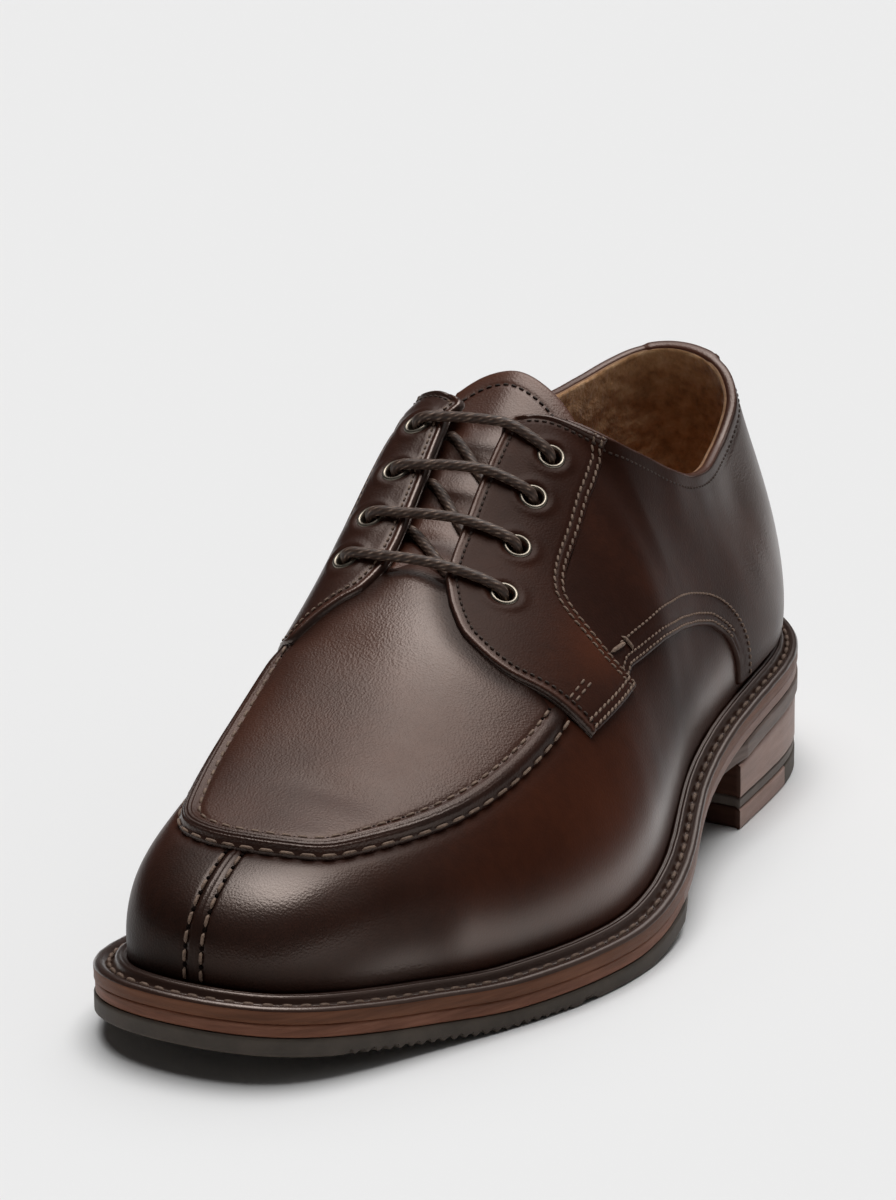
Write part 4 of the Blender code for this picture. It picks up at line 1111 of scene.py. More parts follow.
def build_plug():
    """The plug on top of the toe: a sheet over both sides with a rolled, ribbed lip along the seam."""
    sheets = []
    for side in SIDES:
        u, t = plug_shares(side)
        rim = rim_share(side, u)
        inward = (t - rim) / (1 - rim)
        sheet = np.concatenate([last_points(side, u, t), np.stack([inward, u], -1)], -1)
        sheets.append(sheet if side == LATERAL else sheet[::-1])
    rows, cols = u.shape
    table = np.stack(sheets).reshape(-1, 5)
    faces = np.concatenate([grid_faces(rows, cols), grid_faces(rows, cols, rows * cols)])
    points, faces, number = weld(table[:, :3], faces)
    share, along_shoe = np.zeros((2, len(points)))
    share[number], along_shoe[number] = table[:, 3], table[:, 4]
    pole = np.linalg.norm(points - np.array(POLE), axis=1)
    points = smooth_points(points, faces, fade(share, 0.35, 0.75) * fade(pole, 60, 40) * 0.5, 60)
    normal = face_normals(points, faces)
    rim = [last_points(side, *apron_edge(side, 400).T)[::-side] for side in SIDES]
    d = Edge(np.concatenate(rim)).distance(points)
    height = lookup(LIP_PROFILE, d)
    height += fade(d, *RIBS_IN) * fade(d, *RIBS_OUT) * RIB_HEIGHT * np.cos(2 * np.pi * d / LIP_RIBS)
    height += np.where(d > 7, uneven(points, (0.10, 40.0, 5)), 0.0)
    # Lower where the facings cover it
    height *= 1 - COVERED_LOWER * fade(along_shoe, *COVERED_FROM) * fade(d, *COVERED_NEAR)
    height -= PLUG_DIVE * fade(along_shoe, *DIVE_SPAN) ** 1.5
    beside = np.minimum(*(Edge(last_points(side, *stay_lines(side)[0].T)).distance(points) for side in SIDES))
    under = hill(beside, 0.0, UNDER_WIDTH, 1.0) * fade(along_shoe, *DENTED_FROM)
    height += patches(points, PLUG_CREASES) - UNDER_DEPTH * under
    outer = points + normal * height[:, None]
    inner = points + normal * np.minimum(SUNK, height - 0.5)[:, None]
    lip = hill(d, 0.0, LIP_WIDTH, 1.0, 6)
    # Darker along the lip, and painted shade in the dent beside the facings
    tone = PLUG_BASE_TONE + uneven(points, (0.06, 50.0, 6)) - LIP_DARKER * lip - UNDER_PAINTED_SHADE * under
    shine = PLUG_BASE_SHINE + lip * np.interp(along_shoe, *LIP_SHINE) + patches(points, PLUG_SHINE)
    shine = shine * (1 - UNDER_DULL * under)
    piece("apron_plug", np.stack([outer, inner]), closed(faces, len(points)), [PLUG_LEATHER],
          ("apron",), tone=np.stack([tone, tone]), shine=np.stack([shine, shine]))
    for side in SIDES:
        for style, distance, lift, end, holes in LIP_ROWS:
            stitch_line("stitches_apron", side, apron_edge(side), side, distance, lift, STITCH[style],
                        (0.0, end), holes)


# Lace facings

CORNER_ROUND = {LATERAL: 8.0, MEDIAL: 8.5}
TAB_LIFT, TAB_REACH = {LATERAL: 0.0, MEDIAL: 3.0}, 17.0
# Leather pressed round an eyelet; columns: distance from its centre, width, rise, power
EYELET_PRESSED = ((5.0, 1.3, 0.35, 2), (0.0, 3.8, -0.5, 4))
FACING_SHINE = {LATERAL: 0.08, MEDIAL: 0.38}
FRONT_THREAD = {LATERAL: "stitches_dark", MEDIAL: "stitches_facing"}
FRONT_ROW, BACK_ROWS = 3.0, (1.4, 3.5)
# Grooves along the facing's edges; columns: edge, distance from it, width, rise
FACING_GROOVES = (
    ("front", 2.15, 0.45, -0.42), ("head", 2.15, 0.45, -0.38),
    ("front", FRONT_ROW, 0.5, -0.22), ("head", FRONT_ROW, 0.5, -0.22),
    *((edge, row, 0.45, -0.3) for edge in ("back", "foot") for row in BACK_ROWS),
)
FACING_TONE = ((0.34, (27, -4, 74), (12, 16, 12)),)
FACING_BASE_TONE = 0.10
# Lines along the front edge: a lighter one on the bead, painted highlight, and a darker one at the edge
# itself, painted shade; columns: distance from it, width, tone
FACING_RIM_TONE = ((1.2, 0.9, 0.22), (0.0, 0.7, -0.25))
FACING_RIM_SHINE = (0.0, 2.0, 0.6)     # distance from the edge, width, polish


def stay_lines(side):
    """The four edges of a facing: front, back, foot and head, with a round corner between front and head."""
    facing_u = np.linspace(FACING_START, INSTEP_TOP + 0.045, 60)
    facing = np.array([(u, top_share(side, u)) for u in facing_u])
    facing = facing[facing[:, 1] < 0.9999]
    corner = np.array((facing[-1, 0] + 0.003, 1.0))
    front = np.concatenate([line_points(STAY_FRONT[side], 24), facing, [corner]])
    back = line_points(STAY_BACK, 60)
    head = np.linspace(corner, back[-1], 60)
    trimmed = []
    for line in (spread(side, front, 200), spread(side, head, 80)):
        away = np.linalg.norm(last_points(side, *line.T) - last_points(side, *corner[:, None]), axis=1)
        trimmed.append(line[away > CORNER_ROUND[side]])
    front, head = trimmed
    s = np.linspace(0, 1, 21)[:, None]
    arc = (1 - s) ** 2 * front[-1] + 2 * s * (1 - s) * corner + s ** 2 * head[0]
    front, head = np.concatenate([front, arc[1:11]]), np.concatenate([arc[10:-1], head])
    return front, back, np.linspace(front[0], back[0], 30), head


def coons(side, left, right, bottom, top, a, b):
    """Grid of shares between four lines at the shares a across and b up."""
    left, right = at_shares(side, left, b), at_shares(side, right, b)
    bottom, top = at_shares(side, bottom, a), at_shares(side, top, a)
    a, b = a[:, None, None], b[None, :, None]
    blend = (1 - a) * left[None] + a * right[None] + (1 - b) * bottom[:, None] + b * top[:, None]
    corner = (1 - a) * (1 - b) * left[0] + a * (1 - b) * right[0]
    corner = corner + (1 - a) * b * left[-1] + a * b * right[-1]
    return blend - corner


def build_eyestay(side):
    """An open lace facing with its tab and eyelet holes."""
    front, back, foot, head = stay_lines(side)
    a = clustered(44, (0.0, 0.004, 0.010, 0.020, 0.034, 0.055))
    b = clustered(150, (0.0, 0.0012, 0.003, 0.006, 0.011, 0.018))
    base, normal = surface(side, coons(side, front, back, foot, head, a, b))
    away = np.linalg.norm(base - base[0, -1], axis=-1)
    base = base + unit(base[0, -1] - base[0, -60]) * hill(away, 0.0, TAB_REACH, TAB_LIFT[side])[..., None]
    lines = {"front": base[0], "back": base[-1], "foot": base[:, 0], "head": base[:, -1]}
    d = {key: Edge(line).distance(base) for key, line in lines.items()}
    nearest = np.minimum.reduce(list(d.values()))
    height = SUNK + (STAY_TOP - SUNK) * rounded(nearest, 1.1)
    height += sum(hill(d[key], *groove) for key, *groove in FACING_GROOVES)
    height += uneven(base, (0.07, 30.0, 15)) * (nearest > 4)
    for centre, _ in EYELET_AT.values():
        away = np.linalg.norm(base - centre, axis=-1)
        height += sum(hill(away, *row) for row in EYELET_PRESSED)
    outer = base + normal * height[..., None]
    inner = base + normal * (SUNK - 0.2 + 0.9 * np.clip(1 - d["front"] / 4.0, 0, 1))[..., None]
    tone = FACING_BASE_TONE + uneven(base, (0.05, 40.0, 16)) + patches(base, FACING_TONE)
    # Painted highlight on the bead and painted shade at the front edge
    tone += sum(hill(d["front"], *row) for row in FACING_RIM_TONE)
    shine = FACING_SHINE[side] + hill(np.minimum(d["front"], d["head"]), *FACING_RIM_SHINE)
    name = SIDES[side]
    panel("facing_" + name, outer, inner, UPPER_LEATHER, "eyestay_" + name, tone, shine, in_holes(base))
    path, up = level_row(outer, normal, d["front"], FRONT_ROW, d["head"])
    stitch(FRONT_THREAD[side], path, up, STITCH["facing"])
    across = [turned(grid) for grid in (outer, normal, d["head"])]
    path, up = level_row(*across, FRONT_ROW, turned(d["front"]))
    stitch("stitches_dark", path, up, STITCH["facing"])
    style = STITCH["facing back"][side]
    for row in BACK_ROWS:
        path, up = level_row(outer[::-1], normal[::-1], d["back"][::-1], row)
        stitch("stitches_facing", path, up, style)
        stitch_line("stitches_facing", side, foot, side, row, STAY_TOP - 0.26, style, (0.05, 0.95))


# Quarters

QUARTER_END = 0.9995
QUARTER_ROWS, COLLAR_ROW = (1.3, 3.3), 3.4
QUARTER_UNEVEN = ((0.16, 42.0, 21), (0.06, 16.0, 22))
QUARTER_TONE = ((0.06, (14, 30, 84), (20, 20, 22)),)
QUARTER_SHINE = ((0.9, (14, 120, 68), (17, 28, 40)),)
QUARTER_BASE_TONE, QUARTER_BASE_SHINE = 0.12, 0.07
QUARTER_RIM_SHINE = (0.0, 1.5, 0.12)   # distance from the lower edge, width, polish
QUARTER_TUCK = np.array((-0.010, 0.0))  # shift of its front edge under the facing, in shares
# Single row of stitches over the quarter's lower edge; columns: share along the shoe, share up the section
WING_LINE = ((0.402, 0.447), (0.416, 0.430), (0.441, 0.406), (0.465, 0.387), (0.524, 0.381), (0.587, 0.436),
             (0.625, 0.462), (0.658, 0.465), (0.689, 0.436), (0.709, 0.387), (0.722, 0.320), (0.730, 0.250),
             (0.734, 0.141), (0.732, 0.060))
# Tacks at the foot of the facing; columns: first end and second end in shares, thread width, stitches, height
TACKS = (
    ((0.384, 0.468), (0.410, 0.430), 1.15, 1, QUARTER_TOP + 0.1),
    ((0.409, 0.450), (0.413, 0.402), 1.0, 1, QUARTER_TOP + 0.1),
    ((0.312, 0.529), (0.336, 0.515), 0.6, 3, STAY_TOP - 0.1),
    ((0.314, 0.513), (0.339, 0.497), 0.6, 3, STAY_TOP - 0.1),
)


def build_quarter(side):
    """A quarter with its winged lower edge."""
    front = line_points(STAY_BACK, 90) + QUARTER_TUCK
    front = front[front[:, 1] >= QUARTER_LOW[0][1] - 0.012]
    low = line_points(QUARTER_LOW, 120)
    low[0] = front[0]
    low[-1, 0] = QUARTER_END
    head = np.stack([np.linspace(front[-1, 0], QUARTER_END, 90), np.ones(90)], 1)
    rear = np.linspace(low[-1], (QUARTER_END, 1.0), 60)
    a = np.linspace(0, 1, 190)
    b = clustered(66, (0.0, 0.0015, 0.004, 0.008, 0.014, 0.022))
    base, normal = surface(side, coons(side, front, rear, low, head, a, b))
    d, c = (Edge(last_points(side, *line.T)).distance(base) for line in (low, head))
    height = SUNK + (QUARTER_TOP - SUNK) * rounded(d, 0.9) * rounded(c + 0.35, 1.0)
    height += sum(hill(d, row, 0.45, -0.25) for row in QUARTER_ROWS) + hill(c, COLLAR_ROW, 0.6, -0.3)
    height += uneven(base, *QUARTER_UNEVEN)
    tone = QUARTER_BASE_TONE + uneven(base, (0.05, 50.0, 23)) + patches(base, QUARTER_TONE)
    shine = QUARTER_BASE_SHINE + patches(base, QUARTER_SHINE) + hill(d, *QUARTER_RIM_SHINE)
    name = SIDES[side]
    outer, inner = base + normal * height[..., None], base + normal * (SUNK - 0.2)
    panel("quarter_panel_" + name, outer, inner, QUARTER_LEATHER, "quarter_" + name, tone, shine)
    for row in QUARTER_ROWS:
        stitch_line("stitches_quarter", side, low[:-20], side, row, QUARTER_TOP - 0.22, STITCH["quarter"],
                    (0.03, 0.62))
    stitch_line("stitches_dark", side, head, -side, COLLAR_ROW, QUARTER_TOP - 0.25, STITCH["collar"],
                (0.01, 0.90))
    points, up = surface(side, spread(side, line_points(WING_LINE, 80), 200))
    stitch("stitches_quarter", eased(points, 120) + up * (QUARTER_TOP - 0.05), up, STITCH["wing"])


def build_tacks(side):
    """Bar tack where the facing meets the quarter and a short double row across the tab."""
    for first, second, width, count, height in TACKS:
        points, up = surface(side, np.linspace(first, second, 12))
        pitch = np.linalg.norm(points[-1] - points[0]) / count
        style = (pitch, 0.9 if count == 1 else 0.72, width, width * 0.5, 0.0)
        stitch("stitches_facing", points + up * height, up, style)


STRIP_FOOT = 0.8       # height at which the strip's edge starts
STRIP_ROW = 2.0


def build_back_strip():
    """The strip over the back seam, across both sides."""
    t = STRIP_LOW + (1 - STRIP_LOW) * clustered(70, (0.0, 0.004, 0.009, 0.016, 0.026))
    s = clustered(36, (0.0, 0.010, 0.024, 0.045, 0.075))
    half = lookup(STRIP_EDGE, t)
    sheets = []
    for side in SIDES:
        part = np.clip(side * (1 - 2 * s), 0, 1)
        u = 1 - part[:, None] * half[None]
        sheets.append(surface(side, np.stack([u, np.repeat(t[None], len(s), 0)], -1)))
    base, normal = np.where((s <= 0.5)[:, None, None], *np.array(sheets))
    nearest = np.argmin(abs(s - 0.5))
    centre = hill(s, 0.5, 0.12, 1.0)[:, None, None]
    normal = unit(normal * (1 - centre) + unit(sheets[0][1][nearest] + sheets[1][1][nearest])[None] * centre)
    edges = (base[0], base[-1], base[:, 0], base[:, -1])
    left, right, low, top = (Edge(line).distance(base) for line in edges)
    sides = np.minimum(left, right)
    height = (STRIP_TOP - STRIP_FOOT) * rounded(np.minimum(sides, low), 0.9) * rounded(top + 0.3, 1.0)
    outer = base + normal * (STRIP_FOOT + height + hill(sides, STRIP_ROW, 0.5, -0.25))[..., None]
    tone = QUARTER_BASE_TONE + uneven(base, (0.05, 40.0, 31))
    panel("back_strip_panel", outer, base + normal * 0.3, QUARTER_LEATHER, "back_strip", tone,
          np.full(tone.shape, PLAIN_SHINE))
    middle = len(s) // 2
    for part in (slice(0, middle), slice(len(s) - 1, middle, -1)):
        path, up = level_row(outer[part], normal[part], sides[part], STRIP_ROW)
        stitch("stitches_dark", path[4:], up[4:], STITCH["wing"])


# Half width and half height of the collar's turned edge, plain and where the back strip is folded over it
COLLAR_PLAIN, COLLAR_FOLDED = np.array((1.45, 0.95)), np.array((2.0, 1.3))
COLLAR_SET = 0.35      # how far its middle lies in from the edge
COLLAR_TONE, COLLAR_SHINE = 0.38, 0.6


def build_collar():
    """The turned edge along the top of the quarters, thicker where the back strip is folded over it."""
    parts = []
    for side in SIDES:
        u = np.linspace(stay_lines(side)[3][-1, 0] - 0.03, 1.0, 260)
        points = last_points(side, u, np.ones_like(u))
        up = unit(points - last_points(side, u, np.full_like(u, 0.985)))
        normal = normals_at(side, u, np.full_like(u, 0.98))
        folded = np.where(u > 1 - STRIP_EDGE[-1][1], 1.0, 0.0)
        turn = slice(None) if side == LATERAL else slice(-2, None, -1)
        parts.append([line[turn] for line in (points, normal, up, folded)])
    line, normal, up, folded = (np.concatenate(pair) for pair in zip(*parts))
    for way in (normal, up):
        for _ in range(40):
            way[1:-1] = unit(way[:-2] + 2 * way[1:-1] + way[2:])
    wide, tall = (COLLAR_PLAIN + (COLLAR_FOLDED - COLLAR_PLAIN) * eased(folded, 4)[:, None]).T
    angle = np.linspace(0, 2 * np.pi, 17)[:-1]
    ring = (line - COLLAR_SET * (normal + up))[:, None]
    ring = ring + normal[:, None] * (np.cos(angle) * wide[:, None])[..., None]
    ring = ring + up[:, None] * (np.sin(angle) * tall[:, None])[..., None]
    faces = [face[::-1] for face in tube_faces(*ring.shape[:2])]
    tone, shine = (np.full(ring.shape[:2], value) for value in (COLLAR_TONE, COLLAR_SHINE))
    piece("collar_edge", ring, faces, [QUARTER_LEATHER], tone=tone, shine=shine)


# Tongue

TONGUE_HALF, TONGUE_RISE = {LATERAL: 27.0, MEDIAL: 17.0}, 23.0
TONGUE_DEPTH, TONGUE_THICK = 3.4, 2.2
TONGUE_START, TONGUE_FRONT = 0.318, -0.6
TONGUE_ROW = 5.6
TONGUE_SINK = (0.350, 0.395)           # shares along the shoe over which it goes down below the facings
TONGUE_ROUND, TONGUE_POWER = 0.26, 3.5  # how its upper end falls off to the sides
TONGUE_BASE_TONE, TONGUE_SHINE = 0.30, 0.5
# Creases across the tongue under the laces; columns: height, centre, radius
TONGUE_CREASES = tuple((-depth, (-27, y, z), (10, 2.6, 6)) for y, z, depth in
                       ((-4, 97, 1.0), (8, 104, 0.8), (20, 111, 0.9), (31, 117, 0.6)))


def build_tongue(along=70, rise=36, across=34):
    """The tongue under the facings, running on past them."""
    halves = []
    u = np.linspace(TONGUE_START, INSTEP_TOP - 0.004, along)
    for side in SIDES:
        lines = []
        for value in u:
            t = np.linspace(share_at(side, value, TONGUE_HALF[side]), 1.0, across)
            lines.append(last_points(side, np.full(across, value), t))
        ahead = unit(lines[-1] - lines[-4])
        width = np.abs(lines[-1][:, 0] - lines[-1][-1, 0]) / TONGUE_HALF[side]
        reach = TONGUE_RISE * (1 - TONGUE_ROUND * width ** TONGUE_POWER)
        lines += [lines[-1] + ahead * (reach * k / rise)[:, None] for k in range(1, rise + 1)]
        halves.append(np.stack(lines))
    base = np.concatenate([halves[0], halves[1][:, -2::-1]], 1)
    eased(base.swapaxes(0, 1), 70)
    normal = unit(np.cross(np.gradient(base, axis=0), -np.gradient(base, axis=1)))
    if normal[along // 2, base.shape[1] // 2, 2] < 0:
        normal = -normal
    for _ in range(4):
        near = normal[:-2, 1:-1] + normal[2:, 1:-1] + normal[1:-1, :-2] + normal[1:-1, 2:]
        normal[1:-1, 1:-1] = unit(normal[1:-1, 1:-1] * 2 + near)
    top = Edge(base[-1]).distance(base)
    sunk = fade(np.concatenate([u, np.full(rise, 1.0)]), *TONGUE_SINK)[:, None]
    height = TONGUE_FRONT - (TONGUE_DEPTH + TONGUE_FRONT) * sunk + hill(top, TONGUE_ROW, 0.6, -0.3)
    height = height + uneven(base, (0.15, 26.0, 41)) + patches(base, TONGUE_CREASES)
    height = height - 0.9 * (1 - rounded(top, 1.2))
    outer = base + normal * height[..., None]
    tone = TONGUE_BASE_TONE + uneven(base, (0.08, 30.0, 42)) + hill(top, 0.0, 3.0, 0.2)
    inner = base - normal * (TONGUE_DEPTH + TONGUE_THICK)
    panel("tongue_leather", outer, inner, UPPER_LEATHER, "tongue", tone, np.full(tone.shape, TONGUE_SHINE))
    path, up = level_row(outer[::-1], normal[::-1], top[::-1], TONGUE_ROW)
    stitch("stitches_dark", path[6:-6] + up[6:-6] * 0.05, up[6:-6], STITCH["tongue"])


# Eyelets and lace

# Section of an eyelet; columns: radius, height over its seat
EYELET_PROFILE = ((2.55, -3.6), (2.55, -0.5), (2.66, 0.08), (2.92, 0.42), (3.24, 0.50), (3.56, 0.38),
                  (3.82, 0.08), (3.90, -0.4), (2.55, -3.6))
EYELET_SEAT = STAY_TOP - 0.15
LACE_RADIUS = 1.42
LACE_STEP = 0.4
LACE_END = 5.5         # how far the hidden ends lie below their eyelets
LACE_UNDER = 3.6       # depth of the crossings below the facings
BRAID_PITCH = 2.6
BRAID_STRANDS = 8


def build_eyelets(segments=40):
    """All eyelet rings as one piece."""
    grids, faces = [], []
    for k, (centre, normal) in enumerate(EYELET_AT.values()):
        ring = circle(normal, segments)
        grids.append(np.stack([centre + r * ring + (EYELET_SEAT + h) * normal for r, h in EYELET_PROFILE], 1))
        faces.append(grid_faces(segments, len(EYELET_PROFILE), k * grids[0].size // 3, wrap=True))
    nodes = ["eyelet_%s_%d" % (name, k + 1) for name in SIDES.values() for k in range(4)]
    piece("eyelet_rings", np.concatenate(grids), np.concatenate(faces), [METAL], nodes)


def over_facing(k, across, lift):
    """Point over the facings between the eyelets of a pair; across is positive on the lateral side."""
    (u_lateral, lateral), (u_medial, medial) = EYELETS[LATERAL][k], EYELETS[MEDIAL][k]
    u = np.interp(across, (-medial, lateral), (u_medial, u_lateral))
    side = LATERAL if across > 0 else MEDIAL
    t = share_at(side, u, abs(across))
    return last_points(side, np.array([u]), np.array([t]))[0] + last_normal(side, u, t) * lift


def lace_path():
    """Centre line: up through a medial eyelet, over as a bar, down the lateral one, under to the next."""
    stops = []
    rest = STAY_TOP + LACE_RADIUS + 0.1
    for k in range(4):
        edge = {side: facing_half(side, EYELETS[side][k][0]) for side in SIDES}
        half, half_medial = EYELETS[LATERAL][k][1], EYELETS[MEDIAL][k][1]
        (pm, nm), (pl, nl) = EYELET_AT[MEDIAL, k], EYELET_AT[LATERAL, k]
        if k == 0:
            stops.append(pm - nm * LACE_END)
        stops += [pm - nm * 2.2, pm + nm * (STAY_TOP - 0.4)]
        stops.append(over_facing(k, 0.9 - half_medial, STAY_TOP + 1.3))
        stops.append(over_facing(k, 3.4 - half_medial, rest + 0.45))
        edges = [over_facing(k, -edge[MEDIAL] - 0.8, rest), over_facing(k, edge[LATERAL] + 0.8, rest)]
        stops += [edges[0], (edges[0] + edges[1]) / 2 + np.array([0.0, -0.2, 0.5]), edges[1]]
        stops += [over_facing(k, (half + edge[LATERAL]) / 2, rest), over_facing(k, half - 3.6, rest - 0.1)]
        stops += [over_facing(k, half - 1.1, STAY_TOP + 0.9), pl + nl * (STAY_TOP - 0.8), pl - nl * 2.4]
        if k == 3:
            stops.append(pl - nl * LACE_END)
            break
        pn, nn = EYELET_AT[MEDIAL, k + 1]
        over = unit(pn - pl)
        # The tongue lies higher under the lowest crossing
        low, high = (-1.2, -2.6) if k == 0 else (-LACE_UNDER, -LACE_UNDER)
        inner = [over_facing(k, edge[LATERAL] + 2.0, low), over_facing(k + 1, -edge[MEDIAL] - 2.0, high)]
        middle = (inner[0] + inner[1]) / 2 + np.array([0.0, -0.4, 1.3])
        stops += [pl - nl * LACE_UNDER + over * 4.0, inner[0], middle, inner[1]]
        stops.append(pn - nn * LACE_UNDER - over * 4.0)
    return np.array(stops)


def smooth_curve(points, step):
    """Catmull-Rom curve through points, resampled evenly, with its running length."""
    p = np.concatenate([2 * points[:1] - points[1:2], points, 2 * points[-1:] - points[-2:-1]])
    t = np.linspace(0, 1, 24, endpoint=False)[:, None]
    curve = []
    for a, b, c, d in zip(p[:-3], p[1:-2], p[2:-1], p[3:]):
        square, cube = 2 * a - 5 * b + 4 * c - d, 3 * b - a - 3 * c + d
        curve.append(0.5 * (2 * b + (c - a) * t + square * t ** 2 + cube * t ** 3))
    curve = np.concatenate(curve + [points[-1:]])
    run = running(curve)
    at = np.linspace(0, run[-1], int(run[-1] / step))
    return sample(curve, run, at), at


def build_lace(sides=40):
    """The lace as one braided cord; its strands are raised and lighter, painted highlight, with painted shade
    in the hollows.
    """
    path, run = smooth_curve(lace_path(), LACE_STEP)
    ahead = unit(np.gradient(eased(path, 6), axis=0))
    first = unit(np.cross(ahead[0], (0.0, 0.0, 1.0)))
    angle = np.linspace(0, 2 * np.pi, sides, endpoint=False)
    wave = run[:, None] * 2 * np.pi / BRAID_PITCH
    over = np.sin(BRAID_STRANDS * angle + wave)
    under = np.sin(BRAID_STRANDS / 2 * angle - 0.8 * wave)
    # Lighter raised strands and darker hollows: painted highlight and shade
    tone = 0.45 + 0.35 * over + 0.25 * over * under
    radius = LACE_RADIUS * (0.96 + 0.07 * tone)
    grid = np.zeros((len(path), sides, 3))
    for k, (point, way) in enumerate(zip(path, ahead)):
        first = unit(first - way * np.dot(first, way))
        second = np.cross(way, first)
        ring = np.cos(angle)[:, None] * first + np.sin(angle)[:, None] * second
        grid[k] = point + radius[k, :, None] * ring
    tone *= 0.8 + uneven(grid, (0.35, 2.5, 51))
    piece("lace_cord", grid, tube_faces(*grid.shape[:2]), [LACE], ("lace",), tone=tone)


# Welt and sole

# Profile of the welt; columns: distance out from the upper as a share of the extension, height over its face
WELT_SHAPE = ((-0.15, -3.8), (-0.15, 0.2), (0.02, 1.2), (0.06, 1.8), (0.11, 2.0), (0.16, 1.85), (0.19, 1.55),
              (0.23, 1.9), (0.28, 2.1), (0.34, 1.9), (0.39, 1.2), (0.43, 0.2), (0.47, -0.45), (0.53, -0.5),
              (0.60, -0.42), (0.66, -0.1), (0.72, 0.32), (0.80, 0.5), (0.89, 0.4), (0.95, 0.05), (1.0, -0.6),
              (1.0, -1.2), (0.99, -2.4), (0.995, -3.8))
WELT_SIDE_START = 20   # row of the profile where the welt's side begins
WELT_ROW = 0.56        # place of the stitches as a share of the extension
WELT_TONE, WELT_SHINE = 0.12, 0.8


def edge_ring(stations):
    """Points, normals and welt extensions all round the sole edge, lateral side first."""
    parts = []
    for side in SIDES:
        turn = slice(None) if side == LATERAL else slice(-2, 0, -1)
        parts.append([line[turn] for line in edge_point(side, np.linspace(0, ARCS[side][2][-1], stations))])
    point, out = (np.concatenate(pair) for pair in zip(*parts))
    return point, out, lookup(WELT_EXTENSION, point[:, 1])


def build_welt(stations=340):
    """The storm welt, its profile swept round the sole edge, with its stitches."""
    point, out, reach = edge_ring(stations)
    count, cols = len(point), len(WELT_SHAPE)
    grid = np.zeros((count, cols, 3))
    for k, (share, height) in enumerate(WELT_SHAPE):
        grid[:, k, :2] = point - out * (reach * (1 - share))[:, None]
        grid[:, k, 2] = lookup(SOLE_LINE, grid[:, k, 1]) + height
    grid[..., :2] += out[:, None] * uneven(grid, (0.05, 9.0, 1))[..., None]
    index = np.tile(np.arange(cols) >= WELT_SIDE_START, count)
    piece("storm_welt", grid, grid_faces(count, cols, wrap=True, ring=True)[:, TURNED],
          [WELT_LEATHER, LOOKS["welt_side"]], ("welt",), index,
          np.full(count * cols, WELT_TONE), np.full(count * cols, WELT_SHINE))
    point, out, reach = edge_ring(900)
    place = point - out * (reach * (1 - WELT_ROW))[:, None]
    line = np.concatenate([place, (lookup(SOLE_LINE, place[:, 1]) - 0.5)[:, None]], 1)
    line = np.concatenate([line, line[:1]])
    stitch("stitches_welt", line, np.tile((0.0, 0.0, 1.0), (len(line), 1)), STITCH["welt"], 0.6)


HEEL_BREAST, TIP_JOINT = 67.0, 103.0
WAIST_START, WAIST_INSET = -6.0, 3.0
FRONT_FACING = -0.4    # a wall whose outward direction has less y than this is the heel's front face
MIDSOLE_TOP, MIDSOLE_LOW, OUTSOLE_LOW, HEEL_SEAT = 3.9, 7.55, 12.55, 12.9
BAND_TOP, BAND_LOW, TIP_TOP = 9.0, 6.0, 5.9
SLAB_UNEVEN = (0.04, 7.0, 51)


def slab_rim(start_y, end_y, stations):
    """Points and outward directions round a layer of the sole, cut straight across at start_y and end_y."""
    rims = []
    for side in SIDES:
        first = 0.0 if start_y is None else edge_length(side, start_y)
        last = ARCS[side][2][-1] if end_y is None else edge_length(side, end_y)
        rims.append(np.concatenate(edge_point(side, np.linspace(first, last, stations)), 1))
    lateral = rims[0]
    medial = rims[1][::-1][int(end_y is None):stations - int(start_y is None)]
    share = np.linspace(0, 1, 30)[1:-1, None]
    parts = [lateral]
    for cut, line, other, out_y in ((end_y, lateral, medial, 1.0), (start_y, medial, lateral, -1.0)):
        if cut is not None:
            across = line[-1, :2] * (1 - share) + other[0, :2] * share
            parts.append(np.concatenate([across, np.tile((0.0, out_y), (len(share), 1))], 1))
        parts.append(other if line is lateral else other[:0])
    rim = np.concatenate(parts)
    return rim[:, :2], rim[:, 2:]


def slab(name, inset, low, high, materials, node, start_y=None, end_y=None, stations=150, edge=0.5,
         tread=None, split_y=None, rows=7):
    """A layer of the sole with softened edges and a slightly uneven side."""
    point, out = slab_rim(start_y, end_y, stations)
    grid = np.zeros((len(point), rows + 2, 3))
    soft = min(edge * 0.8, 0.4)
    for k in range(rows + 2):
        rim = k in (0, rows + 1)
        place = point - out * (inset(point[:, 1]) + (edge if rim else 0.0))[:, None]
        bottom, top = low(place[:, 1]), high(place[:, 1])
        grid[:, k, :2] = place
        grid[:, k, 2] = bottom + soft + (top - bottom - 2 * soft) * (k - 1) / (rows - 1)
        if rim:
            grid[:, k, 2] = bottom if k == 0 else top
        if tread is not None and k <= 1:
            grid[:, k, 2] += tread(place[:, 1])
    grid[:, 1:-1, :2] += (out[:, None] * uneven(grid, SLAB_UNEVEN)[..., None])[:, 1:-1]
    count, cols = grid.shape[:2]
    faces = grid_faces(count, cols, wrap=True)[:, ::-1]
    number = np.arange(count) * cols
    index = np.zeros(len(faces) + 2, int)
    if split_y is not None:
        index[:-2] = grid[..., 1].ravel()[faces].mean(1) > split_y
    elif len(materials) > 1:
        # Faces turned towards the toe take the second, darker look: painted shade on the heel's front
        index[:-2] = np.repeat(out[:, 1], cols)[faces].mean(1) < FRONT_FACING
    lids = [number.tolist(), (number + cols - 1).tolist()[::-1]]
    piece(name, grid, faces.tolist() + lids, materials, (node,), index)


TREAD_PITCH, TREAD_DEPTH = 2.9, 1.4
TREAD_FRONT, TREAD_BACK = (-128, -123), (-62, -65)     # where the tread fades in
NOTCH_AT, NOTCH_HALF, NOTCH_SLOPE, NOTCH_DEPTH = -57, 3, 1.5, 1.8


